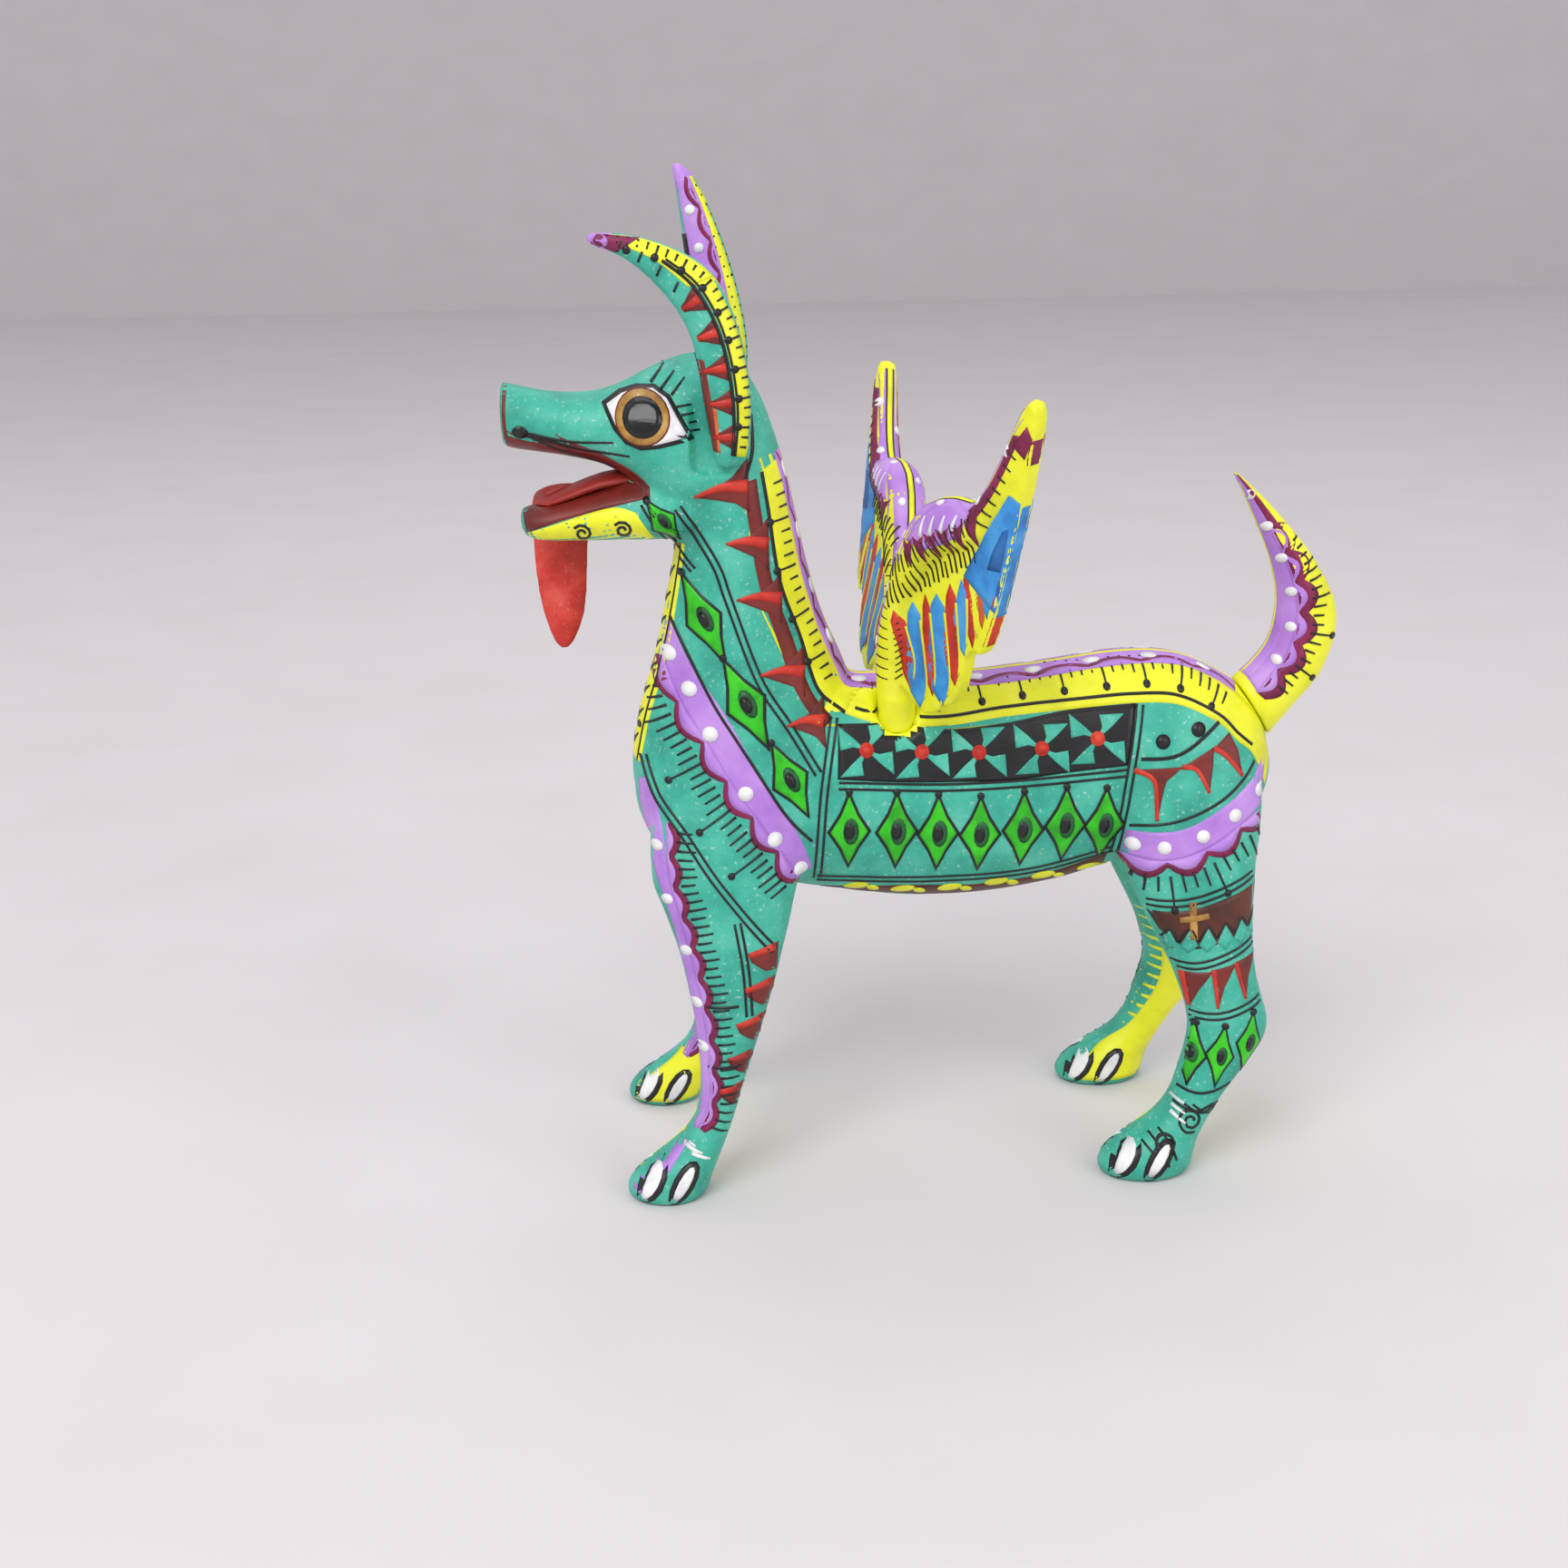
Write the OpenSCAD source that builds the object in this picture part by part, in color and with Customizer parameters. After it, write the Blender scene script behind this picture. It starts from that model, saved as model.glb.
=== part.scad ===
// Carved and painted wooden dog with wings: trunk, four legs, ears, wings, tail and tongue,
// joined by round pegs and dowels. The head looks towards -X and the left side faces -Y.
// The soles of the four paws stand on z = 0.

/* [Wings] */
// How far the left wing is twisted back about its peg, in degrees
left_wing_twist = 38; // [30:1:46]
// How far the right wing is twisted back about its peg, in degrees
right_wing_twist = -13; // [-18:1:-8]
// How far the left wing leans back from its peg, in degrees
left_wing_lean = 0; // [-4:1:6]
// How far the right wing leans back from its peg, in degrees
right_wing_lean = 11; // [6:1:14]
// Lean of the wing pegs away from upright, in degrees
wing_peg_lean = 10; // [8:1:12]
// Thickness of a wing's feather blade
wing_blade = 3.2; // [2.6:0.1:4]

/* [Pegs and dowels] */
// Radius of the dowels that hold the legs
dowel_r = 2; // [1.5:0.1:2.4]
// Length of the dowels that hold the legs
dowel_len = 16; // [12:1:18]
// Radius of the pegs of the wings
wing_peg_r = 1.6; // [1.2:0.1:1.8]
// Radius of the pegs of the ears
ear_peg_r = 1.2; // [0.8:0.1:1.3]
// Radius of the peg of the tail
tail_peg_r = 2; // [1.5:0.1:2.4]
// Radius of the peg of the tongue
tongue_peg_r = 0.7; // [0.5:0.1:0.8]
// Radial clearance of a peg in its hole
fit = 0.04; // [0.02:0.01:0.08]

/* [Mesh] */
// Sides of the carved cross-sections
sides = 24; // [16:4:28]

/* [Hidden] */
$fn = 48;
// moves the whole figure so that its box is centred on the origin
shift = [0.2, -3.5, 0];
// gap between seated faces that come apart
seat_gap = 0.06;
// flat seats of the ears on the sides of the head
ear_seat_y = 9.2;
ear_peg_x = -34;
ear_peg_z = 132;
ear_peg_in = 5;
ear_peg_out = 2.6;
// heights of the flat faces where the legs meet the trunk
front_leg_top = 54;
hind_leg_top = 57;
front_dowel_at = [-36, 9.6];
hind_dowel_at = [44, 10.2];
// where the wings plug in: x, distance from the middle plane, height
wing_root = [-7, 7, 83];
wing_socket_r = 3.5;
wing_stem_r = 3.2;
wing_socket_depth = 3.4;
wing_peg_half = 7;
// where the tail plugs in, and the rise of its peg
tail_seat = [56.1, 79.3];
tail_rise = 32;
tail_peg_half = 7.5;
// the tongue's peg runs level along the throat
tongue_peg_at = [-49.6, 122.5];
tongue_peg_len = 7;

// Stations: each is [front or top x, z, back or bottom x, z, middle y, half-width].
// The body from the chest to the rump.
body_line = [
    [-51.6, 74, -51.6, 67, 0, 3.5],
    [-49.5, 80, -49.5, 60.5, 0, 8.5],
    [-45, 84.5, -45, 56, 0, 11.5],
    [-38, 87, -38, 53, 0, 13],
    [-28, 88, -28, 51.2, 0, 13.6],
    [-18, 88, -18, 49.2, 0, 13.3],
    [-8, 87.8, -8, 47.6, 0, 13],
    [2, 87.5, 2, 47, 0, 12.8],
    [12, 88, 12, 47.6, 0, 13],
    [22, 89.1, 22, 49.2, 0, 13.4],
    [32, 90.3, 32, 52.2, 0, 13.8],
    [42, 89.8, 42, 55, 0, 13.8],
    [49, 86.8, 49, 57, 0, 12.4],
    [54, 83, 54, 58.5, 0, 10],
    [57.5, 77.5, 57.5, 61.5, 0, 7],
    [59.6, 72, 59.6, 66, 0, 2.5]
];
// The neck from the shoulders up into the head.
neck_line = [
    [-48, 61, -23, 61, 0, 10.5],
    [-51.6, 68, -18, 68, 0, 12.6],
    [-52, 75, -15.8, 75, 0, 12.9],
    [-50.3, 83, -13.5, 83, 0, 12.2],
    [-48.2, 90, -15.2, 90, 0, 11.2],
    [-46.3, 97, -18.2, 97, 0, 10.6],
    [-44.8, 104, -20.5, 104, 0, 10.2],
    [-43.2, 112, -22.4, 112, 0, 10.2],
    [-43, 120, -24, 120, 0, 10.2],
    [-43, 128, -26, 128, 0, 9.6],
    [-42, 135, -28.4, 135, 0, 8],
    [-40, 139.5, -31, 139.5, 0, 5]
];
// The head and upper jaw from the nose to the nape.
head_line = [
    [-70.9, 137.6, -70.9, 128.6, 0, 5.6],
    [-70.3, 138.4, -70.1, 127.9, 0, 6.3],
    [-66, 137.4, -66, 127.2, 0, 6.4],
    [-60, 136.5, -60, 126.2, 0, 7],
    [-54.5, 136.9, -54.5, 124.8, 0, 8.4],
    [-49.5, 138.8, -49.5, 121.6, 0, 10.1],
    [-44.5, 141.2, -44.5, 116, 0, 11.3],
    [-39, 142.6, -39, 113, 0, 11.6],
    [-35, 142.2, -35, 114, 0, 10.9],
    [-31.5, 139.6, -31.5, 117, 0, 9.2],
    [-29.2, 134, -29.2, 123, 0, 5]
];
// The lower jaw from its rounded lip to the throat.
jaw_line = [
    [-68.7, 117.8, -68.7, 114.8, 0, 1.6],
    [-67.9, 118.1, -67.9, 113.2, 0, 3.8],
    [-65.5, 118.5, -65.5, 112.5, 0, 5.4],
    [-61, 119.6, -61, 112.3, 0, 6.5],
    [-56, 121.2, -56, 112.2, 0, 7.6],
    [-50.5, 122.8, -50.5, 112.2, 0, 8.9],
    [-45, 123.5, -45, 112.2, 0, 9.8],
    [-40, 123, -40, 112.6, 0, 9.6]
];
// The stub of the rump that the tail sits on.
rump_line = [
    [43, 85, 50, 67, 0, 8],
    [48.5, 86, 55.3, 70.6, 0, 7],
    [52.9, 84.5, 59.3, 74.2, 0, 5.4]
];
// Shoulders and haunches of the trunk above the leg faces, and the legs below them:
// [height, front x, back x, distance from the middle plane, half-width].
shoulder_line = [
    [76, -44, -28, 6, 5],
    [66, -48.8, -24.5, 8, 6.6],
    [60, -49.6, -23.8, 9, 7],
    [54, -49.2, -24.2, 9.9, 6.9]
];
haunch_line = [
    [79, 37, 53, 6, 5],
    [70, 33, 56, 8, 6.6],
    [63, 31.5, 56.4, 9.2, 7],
    [57, 31.4, 55.8, 10, 6.9]
];
front_leg_line = [
    [54, -49.2, -24.2, 9.9, 6.9],
    [47, -46.6, -26, 11.2, 6.4],
    [40, -44.6, -27.9, 12.5, 5.9],
    [33, -43.3, -30, 13.8, 5.3],
    [26, -42.5, -32.4, 15, 4.8],
    [19, -42.3, -34.9, 16.2, 4.4],
    [13.8, -43.4, -36.5, 17, 4.3],
    [9.8, -46.6, -38, 17.6, 4.7],
    [6.4, -51.2, -39.4, 18.1, 5.5],
    [3.2, -55, -40.7, 18.6, 6],
    [1, -55.8, -41.3, 18.7, 5.9],
    [0, -54.8, -42, 18.7, 5.3]
];
hind_leg_line = [
    [57, 31.4, 55.8, 10, 6.9],
    [51, 33.6, 55.2, 11.4, 6.6],
    [45, 36.2, 54.8, 12.7, 6.1],
    [38, 39.8, 55, 14, 5.6],
    [32, 42.2, 56.2, 15.2, 5.2],
    [27, 43.2, 57.4, 16, 5],
    [23.5, 42.9, 56.6, 16.4, 4.8],
    [18.5, 41.5, 53, 17, 4.4],
    [14, 40, 49.6, 17.5, 4.3],
    [10, 37, 47.2, 17.9, 4.7],
    [6.4, 31.6, 45.4, 18.3, 5.5],
    [3.2, 27.9, 44.6, 18.6, 6],
    [1, 27.4, 44.2, 18.7, 5.9],
    [0, 28.4, 43.4, 18.7, 5.3]
];
// Ears from the lower end of the rim to the tip.
left_ear_line = [
    [-36.2, 125.6, -33.4, 125, -10.6, 1.2],
    [-37, 128, -31.4, 127, -10.9, 2.3],
    [-38, 135, -30.6, 134, -11.4, 2.9],
    [-39.2, 142.5, -31.2, 141.5, -11.8, 3],
    [-40.8, 147.8, -33, 149, -12.1, 2.9],
    [-44, 152.6, -36.2, 155.4, -12.4, 2.6],
    [-48, 156.6, -41.2, 159, -12.7, 2.2],
    [-51.5, 158.8, -47.5, 161.2, -13, 1.7],
    [-54.6, 160, -53.4, 161.9, -13.2, 1.1],
    [-55.6, 160.8, -55.3, 161.6, -13.3, 0.5]
];
right_ear_line = [
    [-36.2, 125.6, -33.4, 125, 10.6, 1.2],
    [-37, 128, -31.4, 127, 10.9, 2.3],
    [-37.8, 135, -30.4, 134, 11.2, 2.9],
    [-38.6, 143, -29.8, 142, 11.4, 3],
    [-39.2, 150, -30.8, 149.4, 11.5, 2.9],
    [-40, 157.5, -32.8, 157, 11.6, 2.6],
    [-40.8, 164.5, -35.7, 164.6, 11.7, 2.1],
    [-41.5, 169.6, -38.4, 170, 11.8, 1.5],
    [-41.7, 171.4, -40.6, 171.8, 11.8, 0.6]
];
// The tail from its seat to the tip.
tail_line = [
    [52.9, 84.5, 59.3, 74.2, 0, 5.4],
    [56, 87.4, 63.6, 79.6, 0, 5],
    [58.6, 91, 68, 85, 0, 4.7],
    [59.7, 95.8, 70.4, 92, 0, 4.4],
    [59.4, 101, 69.8, 98.4, 0, 4.1],
    [57.8, 106.6, 66.2, 104.8, 0, 3.6],
    [55.4, 112, 61.8, 110.4, 0, 3],
    [52.8, 117.2, 56.4, 116.2, 0, 2.1],
    [50.9, 120.6, 52, 120.2, 0, 0.8]
];
// The lying part of the tongue, from the throat towards the lip.
tongue_bed = [
    [-46.5, 123.4, -46.5, 120.6, 0, 2.6],
    [-50, 123.9, -50, 120.8, 0, 4.2],
    [-55, 123.2, -55, 120.6, 0.4, 4.8],
    [-60, 121.4, -60, 119, 0.6, 4.8],
    [-64, 119.8, -64, 117.6, 0.8, 4],
    [-66.4, 118.6, -66.4, 117.4, 1, 2.2]
];
// The lolling part: [x, y, z, half-width, half-thickness, turn of the section from level].
tongue_loll = [
    [-60.6, 0.5, 120.5, 4.4, 1.2, 0],
    [-61.8, 4.2, 119.4, 4.6, 1.3, 12],
    [-62.4, 6.9, 117.9, 4.7, 1.35, 47],
    [-62.6, 8.3, 115, 4.75, 1.4, 82],
    [-62.7, 8.5, 111, 4.7, 1.4, 90],
    [-62.8, 8.4, 105, 4.4, 1.4, 91],
    [-62.7, 8.2, 98, 3.5, 1.3, 92],
    [-62.9, 8, 93.2, 1.7, 0.9, 92],
    [-63, 7.9, 91.9, 0.4, 0.4, 92]
];
// A wing's outline seen from the front, as [out from the root, up from the root].
wing_outline = [
    [3.2, 5.4], [4.7, 4], [6, 2.4], [8.7, 1], [10.8, 1.6], [12.3, 2.9], [14.2, 3.4], [15.3, 4.4],
    [16.5, 6.4], [17.5, 8.9], [18.8, 12.2], [20.6, 13.7], [22, 12.9], [23.4, 14.6], [26, 19.7],
    [29, 26.7], [32.4, 35.2], [35.3, 43.3], [37, 48.6], [37.8, 52.6], [36.9, 54],
    [35.6, 52.6], [33, 48.2], [30.1, 43.6], [27, 39.6], [24, 36.6], [20.5, 37.4], [17, 37.2],
    [13.6, 34.6], [10, 31.4], [5.5, 25.4], [2.2, 20.2], [-0.5, 13.6], [-1.6, 8]
];
// The arm along the wing's upper edge: [out, up, half-width, half-thickness].
wing_arm = [
    [0, 0, 2.9, 2.9],
    [0.2, 6, 3.1, 3.1],
    [1.6, 13, 3, 3.1],
    [5, 20.5, 3.1, 3.3],
    [9.4, 27.6, 3.8, 3.8],
    [14.4, 32.6, 4.4, 4.3],
    [19.6, 34, 4.2, 4],
    [24.6, 34.8, 3.2, 3.2],
    [29.4, 40, 2.8, 2.7],
    [33.2, 46, 2.5, 2.3],
    [36.2, 51.4, 2, 1.9],
    [37.4, 53.8, 0.9, 0.9]
];

// A point on a smooth curve through list p, between entries i and i + 1.
function curve(p, i, t) =
    let (a = p[max(i - 1, 0)], b = p[i], c = p[i + 1], d = p[min(i + 2, len(p) - 1)])
    0.5 * (2 * b + (c - a) * t + (2 * a - 5 * b + 4 * c - d) * t * t
        + (3 * b - a - 3 * c + d) * t * t * t);
function smooth(p, steps) = [
    for (i = [0 : len(p) - 2]) for (k = [0 : steps - 1]) curve(p, i, k / steps),
    p[len(p) - 1]
];

// A section is [centre, first half-axis, second half-axis] of an ellipse.
function side_section(s) = [
    [(s[0] + s[2]) / 2, s[4], (s[1] + s[3]) / 2],
    [(s[0] - s[2]) / 2, 0, (s[1] - s[3]) / 2],
    [0, s[5], 0]
];
function level_section(s, side) = [
    [(s[1] + s[2]) / 2, side * s[3], s[0]],
    [(s[1] - s[2]) / 2, 0, 0],
    [0, s[4], 0]
];
function loll_section(s) = [
    [s[0], s[1], s[2]],
    [s[3], 0, 0],
    [0, s[4] * sin(s[5]), s[4] * cos(s[5])]
];
// The arm's section lies across the line from the entry before to the entry after.
function arm_section(p, i) =
    let (
        a = p[max(i - 1, 0)], b = p[min(i + 1, len(p) - 1)],
        along = [b[0] - a[0], b[1] - a[1]] / norm([b[0] - a[0], b[1] - a[1]])
    )
    [[0, p[i][0], p[i][1]], [0, -along[1], along[0]] * p[i][2], [p[i][3], 0, 0]];

function ring(s) = [
    for (k = [0 : sides - 1]) s[0] + s[1] * cos(360 * k / sides) + s[2] * sin(360 * k / sides)
];

// A closed skin over a list of sections.
module skin(sections) {
    rings = len(sections);
    outward = cross(sections[0][1], sections[0][2]) * (sections[1][0] - sections[0][0]) > 0;
    sides_faces = [
        for (r = [0 : rings - 2]) for (k = [0 : sides - 1])
            let (n = (k + 1) % sides, a = r * sides, b = a + sides)
            outward ? [a + k, b + k, b + n, a + n] : [a + n, b + n, b + k, a + k]
    ];
    first = [for (k = [0 : sides - 1]) outward ? k : sides - 1 - k];
    last = [for (k = [0 : sides - 1]) (rings - 1) * sides + (outward ? sides - 1 - k : k)];
    polyhedron(points = [for (s = sections) each ring(s)], faces = concat(sides_faces, [first, last]));
}
module side_skin(line, steps) {
    skin([for (s = smooth(line, steps)) side_section(s)]);
}
module level_skin(line, side, steps) {
    skin([for (s = smooth(line, steps)) level_section(s, side)]);
}

// Puts a peg's own frame, +Z out of the hole, where that peg is.
module at_wing_peg(side) {
    translate([wing_root[0], side * wing_root[1], wing_root[2]])
        rotate([-side * wing_peg_lean, 0, 0])
            children();
}
module at_tail_peg() {
    translate([tail_seat[0], 0, tail_seat[1]])
        rotate([0, 90 - tail_rise, 0])
            children();
}
module at_ear_peg(side) {
    translate([ear_peg_x, side * ear_seat_y, ear_peg_z])
        rotate([-side * 90, 0, 0])
            children();
}
module at_dowel(place, side, top) {
    translate([place[0], side * place[1], top])
        children();
}
// A round rod from z = -inside to z = outside.
module rod(radius, inside, outside) {
    translate([0, 0, -inside])
        cylinder(r = radius, h = inside + outside);
}

module body_form() {
    side_skin(body_line, 2);
}

module trunk() {
    color("mediumseagreen")
    difference() {
        // carved block with its flat seats
        resize([0, 0, 0]) difference() {
            union() {
                body_form();
                side_skin(neck_line, 2);
                side_skin(head_line, 2);
                side_skin(jaw_line, 2);
                side_skin(rump_line, 2);
                for (side = [-1, 1]) {
                    level_skin(shoulder_line, side, 2);
                    level_skin(haunch_line, side, 2);
                }
            }
            for (side = [-1, 1]) {
                translate([-31, side * (ear_seat_y + 10), 137]) cube([19, 20, 26], center = true);
                at_wing_peg(side) translate([0, 0, -wing_socket_depth]) cylinder(r = wing_socket_r, h = 12);
                // countersunk rim that clears the wing as it twists
                at_wing_peg(side) cylinder(r1 = wing_socket_r, r2 = wing_socket_r + 1.6, h = 8);
            }
            at_tail_peg() translate([-12, -12, 0]) cube([24, 24, 12]);
        }
        for (side = [-1, 1]) {
            at_dowel(front_dowel_at, side, front_leg_top) rod(dowel_r + fit, 2, dowel_len / 2);
            at_dowel(hind_dowel_at, side, hind_leg_top) rod(dowel_r + fit, 2, dowel_len / 2);
            at_wing_peg(side) rod(wing_peg_r + fit, wing_socket_depth + wing_peg_half, 0);
            at_ear_peg(side) rod(ear_peg_r + fit, ear_peg_in, 2);
        }
        at_tail_peg() rod(tail_peg_r + fit, tail_peg_half, 2);
        translate([tongue_peg_at[0] - tongue_peg_len / 2, 0, tongue_peg_at[1]])
            rotate([0, 90, 0])
                cylinder(r = tongue_peg_r + fit, h = tongue_peg_len);
    }
}

// A leg ends in a flat face under the trunk and is coped to the belly beside it.
module leg(line, side, dowel_at, top) {
    color("mediumseagreen")
    difference() {
        resize([0, 0, 0]) difference() {
            level_skin(line, side, 2);
            body_form();
        }
        at_dowel(dowel_at, side, top) rod(dowel_r + fit, dowel_len / 2, 2);
    }
}
module dowel(place, side, top) {
    color("burlywood") at_dowel(place, side, top) rod(dowel_r, dowel_len / 2, dowel_len / 2);
}

module ear(line, side) {
    color("gold")
    difference() {
        resize([0, 0, 0]) difference() {
            side_skin(line, 2);
            translate([-43, side * (ear_seat_y + seat_gap - 10), 147]) cube([40, 20, 60], center = true);
        }
        at_ear_peg(side) rod(ear_peg_r + fit, 1, ear_peg_out);
    }
}
module ear_peg(side) {
    color("burlywood") at_ear_peg(side) rod(ear_peg_r, ear_peg_in - 0.2, ear_peg_out - 0.1);
}

module wing(side, twist, lean) {
    arm = smooth(wing_arm, 2);
    color("yellow")
    at_wing_peg(side)
        rotate([0, 0, -side * twist])
            difference() {
                resize([0, 0, 0]) union() {
                    rod(wing_stem_r, wing_socket_depth - seat_gap, 3);
                    rotate([side * wing_peg_lean, lean, 0]) mirror([0, side < 0 ? 1 : 0, 0]) {
                        skin([for (i = [0 : len(arm) - 1]) arm_section(arm, i)]);
                        rotate([90, 0, 90])
                            linear_extrude(height = wing_blade, center = true)
                                polygon(wing_outline);
                    }
                }
                rod(wing_peg_r + fit, wing_socket_depth + 1, wing_peg_half - wing_socket_depth);
            }
}
module wing_peg(side) {
    color("burlywood") at_wing_peg(side)
        rod(wing_peg_r, wing_socket_depth + wing_peg_half - 0.2, wing_peg_half - wing_socket_depth - 0.2);
}

module tail() {
    color("yellow")
    difference() {
        resize([0, 0, 0]) difference() {
            side_skin(tail_line, 2);
            at_tail_peg() translate([-12, -12, seat_gap - 12]) cube([24, 24, 12]);
        }
        at_tail_peg() rod(tail_peg_r + fit, 1, 5);
    }
}
module tail_peg() {
    color("burlywood") at_tail_peg() rod(tail_peg_r, tail_peg_half - 0.2, 4.8);
}

module tongue() {
    color("crimson")
    difference() {
        resize([0, 0, 0]) difference() {
            union() {
                side_skin(tongue_bed, 2);
                skin([for (s = smooth(tongue_loll, 2)) loll_section(s)]);
            }
            side_skin(head_line, 2);
            side_skin(neck_line, 2);
            side_skin(jaw_line, 2);
        }
        translate([tongue_peg_at[0] - tongue_peg_len / 2, 0, tongue_peg_at[1]])
            rotate([0, 90, 0])
                cylinder(r = tongue_peg_r + fit, h = tongue_peg_len);
    }
}
module tongue_peg() {
    color("burlywood")
    translate([tongue_peg_at[0] - tongue_peg_len / 2, 0, tongue_peg_at[1]])
        rotate([0, 90, 0])
            cylinder(r = tongue_peg_r, h = tongue_peg_len);
}

translate(shift) {
    trunk();
    leg(front_leg_line, -1, front_dowel_at, front_leg_top);  // left_front_leg
    leg(front_leg_line, 1, front_dowel_at, front_leg_top);  // right_front_leg
    leg(hind_leg_line, -1, hind_dowel_at, hind_leg_top);  // left_hind_leg
    leg(hind_leg_line, 1, hind_dowel_at, hind_leg_top);  // right_hind_leg
    dowel(front_dowel_at, -1, front_leg_top);  // left_front_dowel
    dowel(front_dowel_at, 1, front_leg_top);  // right_front_dowel
    dowel(hind_dowel_at, -1, hind_leg_top);  // left_hind_dowel
    dowel(hind_dowel_at, 1, hind_leg_top);  // right_hind_dowel
    ear(left_ear_line, -1);  // left_ear
    ear(right_ear_line, 1);  // right_ear
    ear_peg(-1);  // left_ear_peg
    ear_peg(1);  // right_ear_peg
    wing(-1, left_wing_twist, left_wing_lean);  // left_wing
    wing(1, right_wing_twist, right_wing_lean);  // right_wing
    wing_peg(-1);  // left_wing_peg
    wing_peg(1);  // right_wing_peg
    tail();
    tail_peg();
    tongue();
    tongue_peg();
}
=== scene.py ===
import math

import bmesh
import bpy
from mathutils import Matrix, Vector, noise
from mathutils.bvhtree import BVHTree


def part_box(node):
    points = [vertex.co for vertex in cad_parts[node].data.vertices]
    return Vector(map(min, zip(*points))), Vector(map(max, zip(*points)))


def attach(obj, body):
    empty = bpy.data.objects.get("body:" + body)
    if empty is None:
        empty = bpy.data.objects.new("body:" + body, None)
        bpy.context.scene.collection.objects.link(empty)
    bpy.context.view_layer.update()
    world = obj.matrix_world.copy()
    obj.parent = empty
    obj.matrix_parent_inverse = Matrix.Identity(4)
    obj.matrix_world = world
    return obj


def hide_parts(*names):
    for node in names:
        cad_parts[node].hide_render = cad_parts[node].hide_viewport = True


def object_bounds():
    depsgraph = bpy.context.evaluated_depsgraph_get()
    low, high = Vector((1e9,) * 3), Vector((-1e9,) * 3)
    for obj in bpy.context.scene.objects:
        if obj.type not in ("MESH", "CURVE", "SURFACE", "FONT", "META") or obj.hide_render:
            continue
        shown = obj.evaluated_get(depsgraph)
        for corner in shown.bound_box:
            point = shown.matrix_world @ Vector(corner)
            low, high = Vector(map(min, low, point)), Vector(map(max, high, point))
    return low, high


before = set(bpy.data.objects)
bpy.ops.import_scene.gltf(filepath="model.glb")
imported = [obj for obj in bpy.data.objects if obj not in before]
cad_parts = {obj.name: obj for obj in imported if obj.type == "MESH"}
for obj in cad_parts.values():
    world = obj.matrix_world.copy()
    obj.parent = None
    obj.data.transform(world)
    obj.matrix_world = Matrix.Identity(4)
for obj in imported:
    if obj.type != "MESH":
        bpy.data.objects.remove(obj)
cad_box = [list(corner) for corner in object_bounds()]

# --- Place and camera ---
# The figure stands on four paws, nose towards -X and left flank towards -Y. Sizes below are in
# millimetres from the middle plane, with the nose tip at NOSE, and place() turns them to metres.
MM = 0.001
NOSE = -70.9
nose_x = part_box("trunk")[0].x
middle_y = (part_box("trunk")[0].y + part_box("trunk")[1].y) / 2


def place(x, y, z):
    """A point in millimetres from the middle plane, in metres."""
    return Vector(((x - NOSE) * MM + nose_x, y * MM + middle_y, z * MM))


CAMERA_AT = (-46.7, -323.2, 172.8)
CAMERA_DOWN, CAMERA_TURN, CAMERA_ROLL = 17.9, 3.7, 1.0
camera = bpy.data.objects.new("camera", bpy.data.cameras.new("camera"))
bpy.context.collection.objects.link(camera)
camera.data.lens = 44.8
camera.data.sensor_width = 36
camera.data.clip_start = 0.01
turn = Matrix.Rotation(math.radians(-CAMERA_TURN), 4, "Z")
tilt = Matrix.Rotation(math.radians(90 - CAMERA_DOWN), 4, "X")
roll = Matrix.Rotation(math.radians(-CAMERA_ROLL), 4, "Z")
camera.matrix_world = Matrix.Translation(place(*CAMERA_AT)) @ (turn @ tilt) @ roll
bpy.context.scene.camera = camera

# --- Stage ---
# A pale seamless floor that rises into a backdrop far behind, one large soft lamp from the front
# left and above, a weaker one from the right, and an even pale sky for fill.
bpy.context.scene.view_settings.view_transform = "Standard"


def linear(hex_colour):
    """sRGB hex to the linear values that shaders use."""
    parts = [int(hex_colour[i:i + 2], 16) / 255 for i in (1, 3, 5)]
    return [p / 12.92 if p <= 0.04045 else ((p + 0.055) / 1.055) ** 2.4 for p in parts] + [1.0]


def add(nodes, kind, links=None, **settings):
    """A node with its settings; links maps an input's name or number to an output socket or a value."""
    made = nodes.new(kind)
    for name, value in settings.items():
        setattr(made, name, value)
    for socket, value in (links or {}).items():
        if isinstance(value, bpy.types.NodeSocket):
            made.id_data.links.new(value, made.inputs[socket])
        else:
            made.inputs[socket].default_value = value
    return made


def new_material(name):
    """A new material, its nodes and its main shader."""
    made = bpy.data.materials.new(name)
    made.use_nodes = True
    return made, made.node_tree.nodes, made.node_tree.nodes["Principled BSDF"]


floor_paper, paper_nodes, paper = new_material("pale_floor_paper")
paper_grain = add(paper_nodes, "ShaderNodeTexNoise", {"Scale": 60.0, "Detail": 4.0})
paper_tone = add(paper_nodes, "ShaderNodeValToRGB", {0: paper_grain.outputs["Fac"]})
paper_tone.color_ramp.elements[0].color = linear("#d6d1d2")
paper_tone.color_ramp.elements[1].color = linear("#dfdbdc")
floor_paper.node_tree.links.new(paper_tone.outputs[0], paper.inputs["Base Color"])
paper.inputs["Roughness"].default_value = 0.9

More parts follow.
